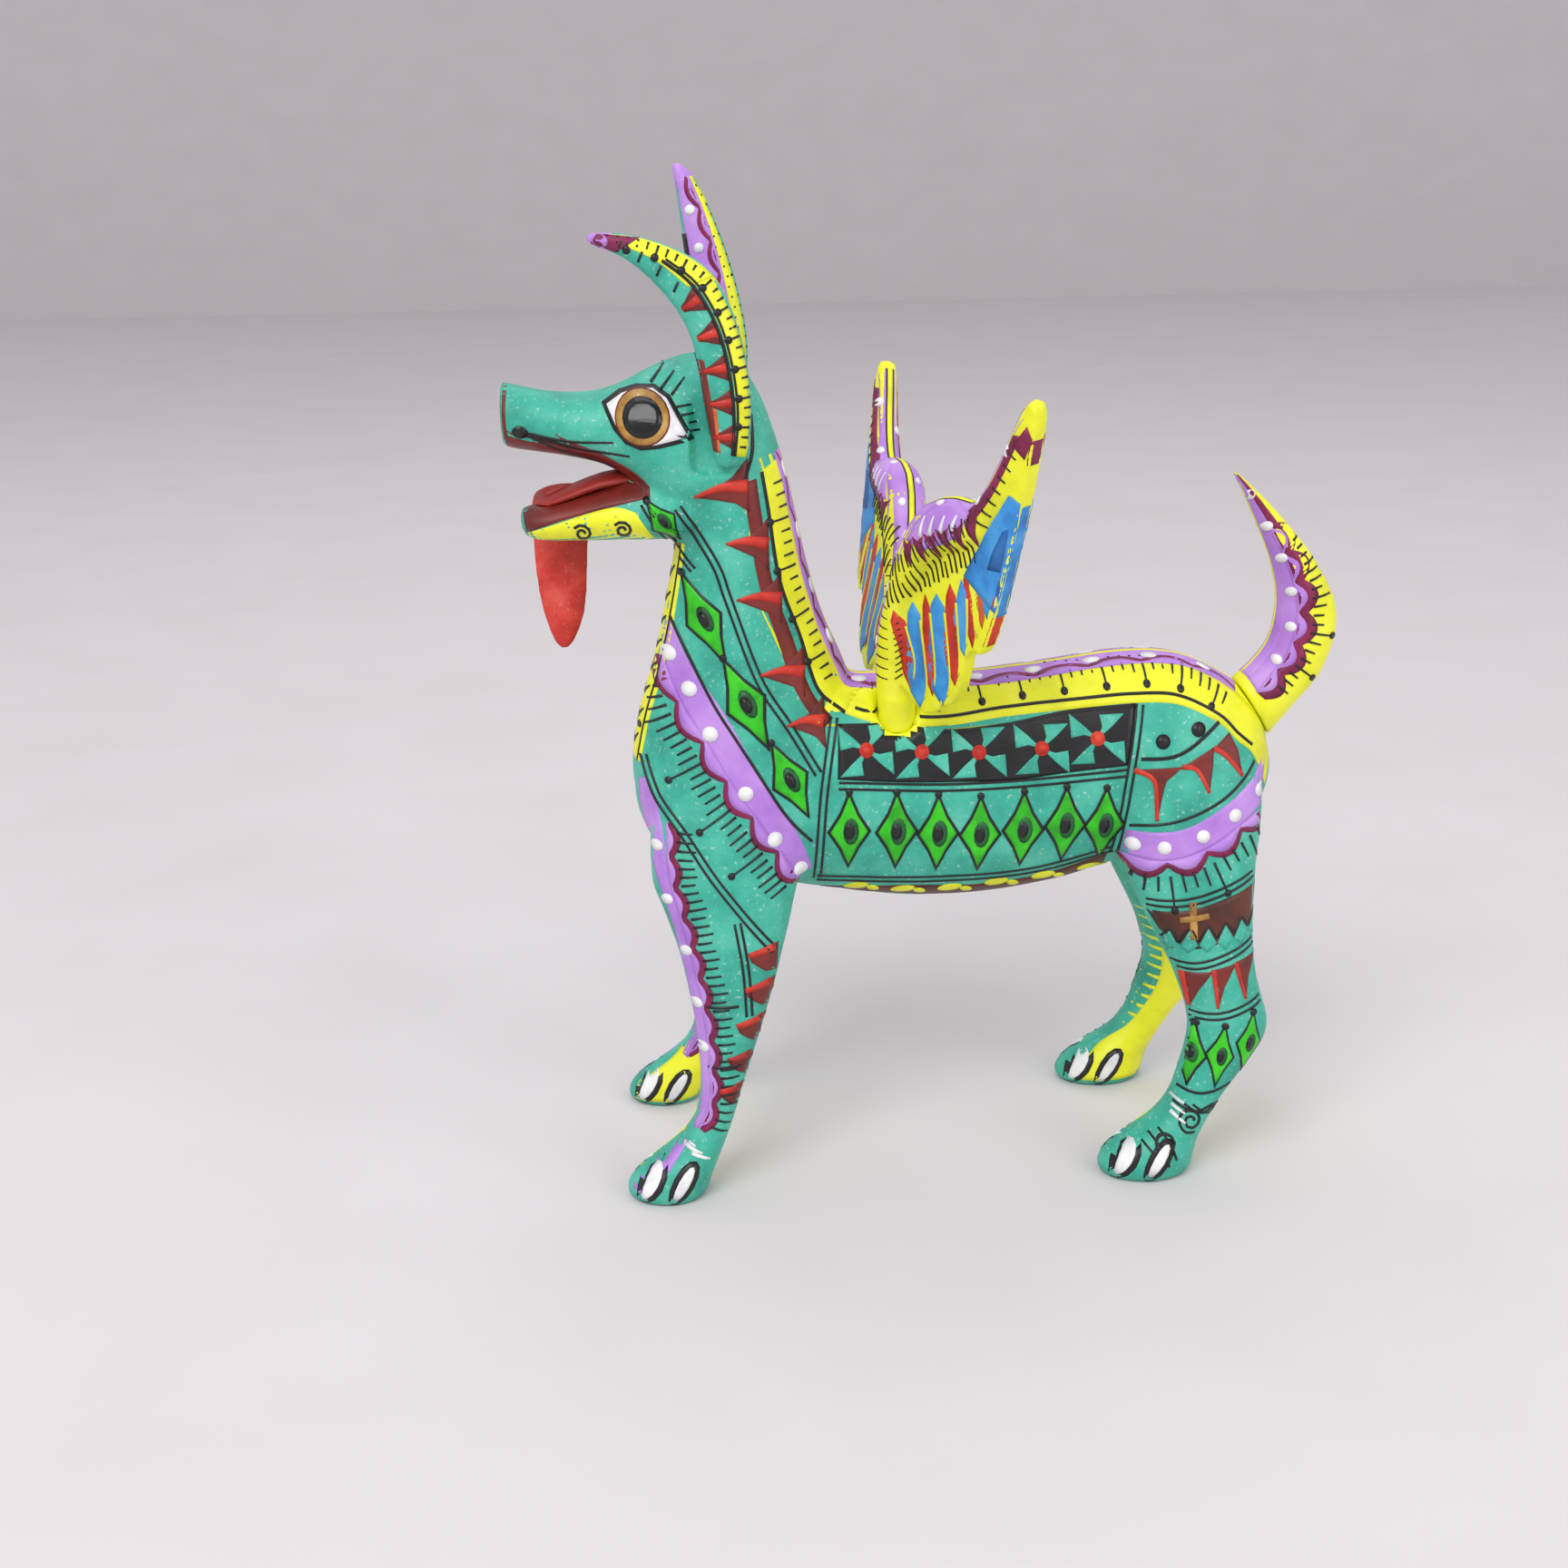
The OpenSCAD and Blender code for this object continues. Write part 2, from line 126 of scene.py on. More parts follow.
bpy.ops.mesh.primitive_plane_add(size=3, location=(0, 0.6, 0))
floor = bpy.context.object
floor.name = "floor"
bpy.ops.object.transform_apply(location=True)
bpy.ops.object.mode_set(mode="EDIT")
mesh_edit = bmesh.from_edit_mesh(floor.data)
for edge in mesh_edit.edges:
    edge.select_set(all(v.co.y > 1 for v in edge.verts))
bmesh.update_edit_mesh(floor.data)
bpy.ops.mesh.select_mode(type="EDGE")
bpy.ops.mesh.extrude_region_move(TRANSFORM_OT_translate={"value": (0, 0.1, 1.8)})
bpy.ops.object.mode_set(mode="OBJECT")
floor.data.materials.append(floor_paper)


def lamp(name, at, size, power):
    """A square soft lamp turned to the figure."""
    light = bpy.data.objects.new(name, bpy.data.lights.new(name, "AREA"))
    bpy.context.collection.objects.link(light)
    light.data.size = size
    light.data.energy = power
    light.location = at
    light.rotation_euler = (Vector((0, 0, 0.08)) - Vector(at)).to_track_quat("-Z", "Y").to_euler()


lamp("key_lamp", (-0.35, -0.55, 0.75), 0.5, 4.0)
lamp("fill_lamp", (0.6, -0.5, 0.45), 0.5, 1.7)
lamp("wall_lamp", (0.0, 0.5, 0.9), 0.8, 1.6)
sky = bpy.data.worlds.new("sky")
sky.use_nodes = True
sky.node_tree.nodes["Background"].inputs["Color"].default_value = linear("#e4e2e6")
sky.node_tree.nodes["Background"].inputs["Strength"].default_value = 0.86
bpy.context.scene.world = sky

# --- Wood skins ---
# Each carving is copal wood, cut with a knife and sanded round, so its skin is the CAD solid
# with its edges softened and a faint unevenness left by the blade.
NOSE_ROOM = 0.25  # left in front of the nose for its paint
EDGE_ROOM = 0.03  # left inside the box of the solid figure
ABOVE_SEAT = 2  # how far past its rim a bore is opened


def wood_skin(name, nodes, voxel, rounds, wobble):
    """One even skin over copies of the solid pieces; voxel and wobble in millimetres."""
    copies = [bpy.data.objects.new(name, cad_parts[n].data.copy()) for n in nodes]
    bpy.ops.object.select_all(action="DESELECT")
    for copy in copies:
        bpy.context.collection.objects.link(copy)
        copy.select_set(True)
    skin = copies[0]
    bpy.context.view_layer.objects.active = skin
    if len(copies) > 1:
        bpy.ops.object.join()
    bpy.ops.object.mode_set(mode="EDIT")
    bpy.ops.mesh.select_all(action="SELECT")
    bpy.ops.mesh.remove_doubles(threshold=1e-6)
    bpy.ops.object.mode_set(mode="OBJECT")
    remesh = skin.modifiers.new("even", "REMESH")
    remesh.mode = "VOXEL"
    remesh.voxel_size = voxel * MM
    bpy.ops.object.modifier_apply(modifier="even")
    keep_largest_shell(skin)
    bpy.ops.object.mode_set(mode="EDIT")
    bpy.ops.mesh.select_all(action="SELECT")
    bpy.ops.mesh.vertices_smooth(factor=0.5, repeat=rounds)
    bpy.ops.object.mode_set(mode="OBJECT")
    shape = bmesh.new()
    shape.from_mesh(skin.data)
    shape.normal_update()
    for v in shape.verts:
        v.co = kept_inside(v.co + v.normal * (noise.noise(v.co * 160) * wobble * MM))
        v.co.x = max(v.co.x, cad_box[0][0] + NOSE_ROOM * MM)
    shape.to_mesh(skin.data)
    shape.free()
    skin.data.materials.clear()
    bpy.ops.object.shade_smooth()
    return skin


def drilled(skin, top, axis, depth, radius):
    """Opens a peg bore in the skin again after smoothing; sizes in millimetres."""
    for vertex in skin.data.vertices:
        arm = vertex.co - top
        run = arm.dot(axis)
        off = arm - axis * run
        if -depth * MM < run < ABOVE_SEAT * MM and 0 < off.length < radius * MM:
            vertex.co = top + axis * run + off.normalized() * radius * MM


def keep_largest_shell(skin):
    """Deletes the closed shells inside the skin that the dowel holes leave."""
    shape = bmesh.new()
    shape.from_mesh(skin.data)
    left = set(shape.verts)
    shells = []
    while left:
        queue = [left.pop()]
        shell = set(queue)
        while queue:
            for edge in queue.pop().link_edges:
                for v in edge.verts:
                    if v in left:
                        left.remove(v)
                        shell.add(v)
                        queue.append(v)
        shells.append(shell)
    largest = max(shells, key=len)
    spare = [v for shell in shells if shell is not largest for v in shell]
    bmesh.ops.delete(shape, geom=spare, context="VERTS")
    shape.to_mesh(skin.data)
    shape.free()


def kept_inside(at):
    """A point moved inside the solid figure's box."""
    room = EDGE_ROOM * MM
    return Vector([min(max(at[k], cad_box[0][k] + room), cad_box[1][k] - room) for k in range(3)])


def tree_of(skin):
    """The skin as a surface that rays can meet."""
    return BVHTree.FromPolygons([v.co for v in skin.data.vertices],
                                [p.vertices for p in skin.data.polygons])


LEGS = [f"{side}_{end}_leg" for side in ("left", "right") for end in ("front", "hind")]
body_skin = wood_skin("carved_body", ["trunk"] + LEGS, voxel=0.62, rounds=7, wobble=0.12)
WING_X, WING_OUT, WING_Z, WING_LEAN = -7, 7, 83, 10


def wing_seat(side):
    """The middle of a wing's socket on the back."""
    return place(WING_X, side * WING_OUT, WING_Z)


PEG_AXES = [(wing_seat(side), Matrix.Rotation(math.radians(-side * WING_LEAN), 3, "X") @ Vector((0, 0, 1)))
            for side in (-1, 1)]
for top, axis in PEG_AXES:
    drilled(body_skin, top, axis, depth=10.2, radius=1.9)
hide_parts("trunk", *LEGS)
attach(body_skin, "trunk")
body_tree = tree_of(body_skin)

# --- Brush paint ---
# The figure is painted by hand with acrylics: opaque, satin, slightly uneven, and thick enough
# that lines and dots stand proud. Every stroke is a thin closed film pressed on the wood below it.
FILM = 0.3  # how thick a film is
WIDEST = 5.5  # a face of film stretched past this has slid off the wood
GRAZING = 0.06  # a ray flatter than this on the wood is a miss


def painted(name, colour, shade, light, cloud, gloss=0.42, worn=0.0):
    """Acrylic with cloudy patches, brush streaks and a satin skin; worn adds pale rubbed specks."""
    made, nodes, shader = new_material(name)
    where = add(nodes, "ShaderNodeTexCoord")
    clouds = add(nodes, "ShaderNodeTexNoise", {"Vector": where.outputs["Object"], "Scale": cloud,
                                               "Detail": 6.0, "Roughness": 0.62})
    tone = add(nodes, "ShaderNodeValToRGB", {0: clouds.outputs["Fac"]})
    tone.color_ramp.elements[0].position = 0.34
    tone.color_ramp.elements[0].color = linear(shade)
    tone.color_ramp.elements[1].position = 0.5
    tone.color_ramp.elements[1].color = linear(colour)
    tone.color_ramp.elements.new(0.74).color = linear(light)
    specks = add(nodes, "ShaderNodeTexNoise", {"Vector": where.outputs["Object"], "Scale": 1500.0,
                                               "Detail": 2.0})
    rubbed = add(nodes, "ShaderNodeMapRange", {"Value": specks.outputs["Fac"], "From Min": 0.62,
                                               "From Max": 0.74, "To Max": worn})
    base = add(nodes, "ShaderNodeMix", {0: rubbed.outputs[0], 6: tone.outputs[0], 7: linear("#d9efe6")},
               data_type="RGBA")
    streaks = add(nodes, "ShaderNodeMapping", {"Vector": where.outputs["Object"]})
    streaks.inputs["Scale"].default_value = (700, 700, 2600)
    hair = add(nodes, "ShaderNodeTexNoise", {"Vector": streaks.outputs[0], "Scale": 1.0, "Detail": 3.0})
    ridge = add(nodes, "ShaderNodeBump", {"Height": hair.outputs["Fac"], "Strength": 0.16,
                                          "Distance": 0.0002})
    satin = add(nodes, "ShaderNodeMapRange", {"Value": hair.outputs["Fac"], "To Min": gloss - 0.06,
                                              "To Max": gloss + 0.12})
    made.node_tree.links.new(base.outputs[2], shader.inputs["Base Color"])
    made.node_tree.links.new(satin.outputs[0], shader.inputs["Roughness"])
    made.node_tree.links.new(ridge.outputs[0], shader.inputs["Normal"])
    return made


PAINTS = {"yellow": painted("yellow_acrylic", "#eef01f", "#d9dc1e", "#f7f843", 90.0),
          "lilac": painted("lilac_acrylic", "#b884dc", "#a873cf", "#cb9fe6", 100.0),
          "burgundy": painted("burgundy_acrylic", "#7d1045", "#640b36", "#951a55", 150.0),
          "dark_red": painted("dark_red_acrylic", "#742019", "#5c1712", "#882a1f", 140.0),
          "red": painted("bright_red_acrylic", "#c92a18", "#a51d11", "#e0442c", 160.0),
          "green": painted("leaf_green_acrylic", "#2bc40c", "#1f9f08", "#49dc22", 150.0),
          "dark_green": painted("dark_green_acrylic", "#0d5a26", "#07401a", "#1a7a35", 200.0),
          "black": painted("black_acrylic", "#111113", "#08080a", "#1f1f22", 200.0, 0.34),
          "white": painted("white_acrylic", "#eeeeee", "#d4d4dc", "#fbfbfb", 200.0),
          "teal": painted("teal_acrylic", "#3ab39b", "#2b9c86", "#5fc7ae", 130.0, 0.46, 0.4),
          "brown": painted("brown_acrylic", "#54220f", "#3d180b", "#6b2f18", 130.0),
          "orange": painted("orange_acrylic", "#d8602a", "#b84c1e", "#ea8148", 150.0),
          "blue": painted("blue_acrylic", "#3494dd", "#256fb8", "#5cb0ee", 140.0),
          "pupil": painted("glossy_pupil_black", "#0d0d0f", "#060607", "#19191c", 250.0, 0.12),
          "deep_blue": painted("deep_blue_acrylic", "#1f62a8", "#184d88", "#2f7cc4", 140.0),
          "gold": painted("gold_acrylic", "#b98a3c", "#8e6423", "#d7b06a", 300.0, 0.3),}
ORDER = list(PAINTS)


def ground(skin, first, other, belongs):
    """Ground colour over a whole skin, and another where belongs(face centre) is true."""
    skin.data.materials.append(first)
    skin.data.materials.append(other)
    for face in skin.data.polygons:
        face.material_index = 1 if belongs(face.center) else 0


def off_axis(at, top, axis):
    """How far a point is from a peg's middle line."""
    return ((at - top) - axis * (at - top).dot(axis)).length


TAIL_SEAT = place(56.1, 0, 79.3)
BACK_Z, WING_COLLAR, TAIL_COLLAR = 77, 5.6, 7.8


def on_collar(at):
    """True on the wood round the seats of the wings and the tail, which is yellow."""
    by_wing = at.z > BACK_Z * MM and min(off_axis(at, *peg) for peg in PEG_AXES) < WING_COLLAR * MM
    return by_wing or (at - TAIL_SEAT).length < TAIL_COLLAR * MM


teal_ground = painted("teal_ground_acrylic", "#37b097", "#2a9984", "#5fc7ae", 110.0, 0.46, 0.4)
ground(body_skin, teal_ground, PAINTS["yellow"], on_collar)
film = bmesh.new()


def smooth_line(points, step=1.0):
    """Points spaced about one step apart on a smooth curve through the given ones."""
    made = []
    for i in range(len(points) - 1):
        a, b = Vector(points[max(i - 1, 0)]), Vector(points[i])
        c, d = Vector(points[i + 1]), Vector(points[min(i + 2, len(points) - 1)])
        count = max(1, round((c - b).length / step))
        for k in range(count):
            t = k / count
            made.append(0.5 * (2 * b + (c - a) * t + (2 * a - 5 * b + 4 * c - d) * t * t
                               + (3 * b - a - 3 * c + d) * t ** 3))
    return made + [Vector(points[-1])]


def length_of(points):
    """How long a line through the points is."""
    return sum((Vector(b) - Vector(a)).length for a, b in zip(points, points[1:]))


def between(near, far, share):
    """Points part of the way from one curve to another."""
    return [Vector(a).lerp(Vector(b), share) for a, b in zip(near, far)]


def oval(at, wide, tall, count):
    """Points round an oval."""
    turns = [math.tau * k / count for k in range(count)]
    return [(at[0] + wide * math.cos(a), at[1] + tall * math.sin(a)) for a in turns]


def spaced(points, count):
    """The given number of points evenly spaced along a smooth curve."""
    fine = smooth_line(points, 0.4)
    reach = [0.0]
    for a, b in zip(fine, fine[1:]):
        reach.append(reach[-1] + (b - a).length)
    made, i = [], 0
    for k in range(count):
        want = reach[-1] * k / (count - 1)
        while i < len(fine) - 2 and reach[i + 1] < want:
            i += 1
        span = max(reach[i + 1] - reach[i], 1e-6)
        made.append(fine[i].lerp(fine[i + 1], (want - reach[i]) / span))
    return made


def across(points, i):
    """The direction to the right of a curve at its point i."""
    run = points[min(i + 1, len(points) - 1)] - points[max(i - 1, 0)]
    return Vector((run.y, -run.x)).normalized()


def lay(wrap, points, lift):
    """A film's corners over the points, each with the way the wood faces, or None off the wood."""
    made = []
    for point in points:
        hit = wrap(point[0], point[1])
        made.append((film.verts.new(kept_inside(hit[0] + hit[1] * lift * MM)), hit[1]) if hit else None)
    return made


def face_of(corners, colour):
    """One face of film, left out where a corner is off the wood."""
    if None in corners:
        return
    if max((a[0].co - b[0].co).length for a in corners for b in corners) > WIDEST * MM:
        return
    made = film.faces.new([corner[0] for corner in corners])
    made.material_index = ORDER.index(colour)
    made.smooth = True
    made.normal_update()
    if made.normal.dot(corners[0][1]) < 0:
        made.normal_flip()


def sheet(wrap, rows, colour, lift):
    """A film over a grid of points."""
    laid = [lay(wrap, row, lift) for row in rows]
    for near, far in zip(laid, laid[1:]):
        for i in range(len(near) - 1):
            face_of([near[i], near[i + 1], far[i + 1], far[i]], colour)


def runner(wrap, long, widths, colour, lift):
    """A film all along a wrapped spine, at the given places across it."""
    sheet(wrap, [[(i, w) for i in range(long)] for w in widths], colour, lift)


def band(wrap, low, high, colour, lift=0.05, step=1.1):
    """A film between two curves."""
    count = max(3, round(max(length_of(low), length_of(high)) / step))
    low, high = spaced(low, count), spaced(high, count)
    rows = max(1, math.ceil(max((a - b).length for a, b in zip(low, high)) / step))
    sheet(wrap, [[a.lerp(b, r / rows) for a, b in zip(low, high)] for r in range(rows + 1)], colour, lift)


def patch(wrap, outline, colour, lift):
    """A film filling an outline that its middle can see all of."""
    step = 1.2
    middle = sum((Vector(p) for p in outline), Vector((0, 0))) / len(outline)
    edge = []
    for a, b in zip(outline, outline[1:] + outline[:1]):
        a, b = Vector(a), Vector(b)
        count = max(1, math.ceil((b - a).length / step))
        edge += [a.lerp(b, k / count) for k in range(count)]
    rings = max(1, math.ceil(max((p - middle).length for p in edge) / (step * 1.3)))
    core = lay(wrap, [middle], lift)[0]
    last = None
    for r in range(1, rings + 1):
        ring = lay(wrap, [middle.lerp(p, r / rings) for p in edge], lift)
        for i in range(len(ring)):
            j = (i + 1) % len(ring)
            face_of([core, ring[i], ring[j]] if last is None else [last[i], ring[i], ring[j], last[j]],
                    colour)
        last = ring


def dot(wrap, at, radius, colour, lift=0.2, stretch=1.0, turn=0.0):
    """A round blob of paint, or one stretched and turned."""
    c, s = math.cos(math.radians(turn)), math.sin(math.radians(turn))
    ring = oval((0, 0), radius * stretch, radius, 12)
    patch(wrap, [(at[0] + c * u - s * v, at[1] + s * u + c * v) for u, v in ring], colour, lift)


def dots(wrap, places, radius, lift=0.2):
    """White dots of one size."""
    for at in places:
        dot(wrap, at, radius, "white", lift)


def stroke(wrap, points, width=0.5, colour="black", lift=0.14, taper=0.0, step=1.0):
    """A brush line; taper thins it towards its end."""
    if len(points) > 2:
        line = smooth_line(points, step)
    else:
        line = spaced(points, max(2, round(length_of(points) / step) + 1))
    rows = []
    for i, p in enumerate(line):
        half = across(line, i) * width / 2 * (1 - taper * i / (len(line) - 1))
        rows.append([p - half, p + half])
    sheet(wrap, rows, colour, lift)


def shifted(points, distance):
    """A curve moved to its right."""
    line = smooth_line(points, 1.5)
    return [line[i] + across(line, i) * distance for i in range(len(line))]


def double(wrap, points, gap=1.1):
    """Two black lines side by side."""
    for distance in (-gap / 2, gap / 2):
        stroke(wrap, shifted(points, distance), 0.4)


def scallops(wrap, points, pitch, thin, deep, lift=0.09):
    """A burgundy band along a curve, its right edge in round lobes, with lilac lobes inside."""
    lobes = max(1, round(length_of(points) / pitch))
    line = spaced(points, lobes * 8 + 1)
    swing = [(deep - thin) * abs(math.sin(math.pi * i / 8)) for i in range(len(line))]
    edge = [p + across(line, i) * (thin + swing[i]) for i, p in enumerate(line)]
    sheet(wrap, [line, [a.lerp(b, 0.5) for a, b in zip(line, edge)], edge], "burgundy", lift)
    lobe = [p + across(line, i) * max(swing[i] - 0.4, -0.1) for i, p in enumerate(line)]
    sheet(wrap, [[p - across(line, i) * 0.4 for i, p in enumerate(line)], lobe], "lilac", lift + 0.04)


def fringe(wrap, points, pitch, short, long, every):
    """Short black ticks to the right of a curve, and now and then a long drip with a blob at its end."""
    line = spaced(points, max(3, round(length_of(points) / pitch) + 1))
    for i in range(1, len(line) - 1):
        out = across(line, i)
        reach = long if every and i % every == 0 else short * (0.85 + 0.3 * ((i * 37) % 10) / 10)
        stroke(wrap, [line[i], line[i] + out * reach], 0.42, "black", 0.15, 0.35)
        if reach == long:
            dot(wrap, line[i] + out * reach, 0.62, "black", 0.18)


def diamond(wrap, at, along, wide, tall):
    """A green lozenge with a black edge, a blob on its upper tip and a dark heart."""
    along = Vector(along).normalized()
    side = Vector((along.y, -along.x))
    at = Vector(at)
    for scale, colour, lift in ((1.0, "black", 0.12), (0.84, "green", 0.16)):
        corners = [at + along * tall * scale, at + side * wide * scale, at - along * tall * scale,
                   at - side * wide * scale]
        bowed = []
        for a, b in zip(corners, corners[1:] + corners[:1]):
            bowed += [a, a.lerp(b, 0.5).lerp(at, 0.1)]
        patch(wrap, bowed, colour, lift)
    lean = math.degrees(math.atan2(along.y, along.x))
    dot(wrap, at + side * 0.3, wide * 0.36, "dark_green", 0.2, 1.9, lean)
    dot(wrap, at, wide * 0.24, "black", 0.24, 1.7, lean)
    dot(wrap, at + along * (tall - 0.5), 0.62, "black", 0.22)


def finish_film(name, body):
    """Turns the strokes laid so far into one piece of closed films."""
    global film
    made = bpy.data.meshes.new(name)
    film.to_mesh(made)
    film.free()
    film = bmesh.new()
    piece = bpy.data.objects.new(name, made)
    bpy.context.collection.objects.link(piece)
    for paint in ORDER:
        made.materials.append(PAINTS[paint])
    bpy.ops.object.select_all(action="DESELECT")
    bpy.context.view_layer.objects.active = piece
    thick = piece.modifiers.new("thick", "SOLIDIFY")
    thick.thickness = FILM * MM
    thick.offset = -1
    bpy.ops.object.modifier_apply(modifier="thick")
    for vertex in made.vertices:
        vertex.co = kept_inside(vertex.co)
    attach(piece, body)


def pressed_on(tree, start, push):
    """Where a ray meets the wood and the way it faces there, or None."""
    hit = tree.ray_cast(start, push)
    if hit[0] is None or hit[1].dot(push) > -GRAZING:
        return None
    return hit[0], hit[1]


def from_side(tree, side, reach=60):
    """Wraps (x, z) on a carving from its left (-1) or right (+1)."""
    return lambda x, z: pressed_on(tree, place(x, side * reach, z), Vector((0, -side, 0)))


def from_middle(tree, side):
    """Wraps (x, z) on the inner faces of the legs."""
    return lambda x, z: pressed_on(tree, place(x, side * 0.4, z), Vector((0, side, 0)))


def over_spine(tree, spine, reach=30):
    """Wraps (how far along the spine, how far across) from outside a curve in the middle plane."""
    line = smooth_line(spine, 1.0)

    def wrap(run, width):
        i = min(max(run, 0), len(line) - 1.001)
        k = int(i)
        at = line[k].lerp(line[k + 1], i - k)
        out = -across(line, k).lerp(across(line, k + 1), i - k)
        start = place(at.x + out.x * reach, width, at.y + out.y * reach)
        return pressed_on(tree, start, Vector((-out.x, 0, -out.y)).normalized())

    return wrap, len(line)


# --- Body, neck and chest paint ---
# Both flanks carry the same bands over a teal ground: a yellow back with a fringe, black
# pinwheels round red beads, green diamonds, red bars up the neck, and lilac scalloped ribbons.
NAPE = [(-27.3, 126.5), (-25.7, 117.7), (-23.2, 105.4), (-20.2, 97.4), (-16.3, 90.6), (-12.6, 87.6)]
SPINE = NAPE + [(-4, 87.4), (6, 87.4), (16, 88.2), (26, 89.4), (34, 90.2), (42, 89.8), (48.6, 87),
                (52.4, 84)]
BACK_EDGE = [(-16.1, 83.2), (-14.1, 82.4), (-10.8, 81.6), (0.1, 80.5), (11.3, 81.7), (22.3, 82.7),
             (32.8, 83.6), (40.7, 83.1), (47.6, 79.7), (51.1, 76.3), (54.1, 73.7), (57.6, 67)]
BACK_TOP = [(-14, 87), (-4, 87), (6, 87), (16, 87.6), (26, 88.8), (34, 89.6), (42, 89.2), (48.6, 86.2),
            (53, 82.6), (57, 77.6), (59, 72)]
NAPE_EDGE = [(-29.3, 124), (-28.4, 118.1), (-26.7, 106.1), (-23.5, 96.7), (-20.6, 87.4), (-16.1, 83.2)]
spine_wrap, spine_long = over_spine(body_tree, SPINE)
runner(spine_wrap, spine_long, range(-10, 11, 2), "yellow", 0.05)
runner(spine_wrap, spine_long, (-4.4, -3.2, -2, -1, 0, 1, 2, 3.2, 4.4), "lilac", 0.1)
runner(spine_wrap, spine_long, (-0.5, 0.5), "yellow", 0.15)
for side in (-1, 1):
    scallops(spine_wrap, [(0, 4.4 * side), (spine_long - 1, 4.4 * side)][::side], 9.5, 0.5, 1.9, 0.12)
    for i in range(4, spine_long - 3, 10):
        dot(spine_wrap, (i, 2.6 * side), 0.95, "white", 0.2, 1.5)

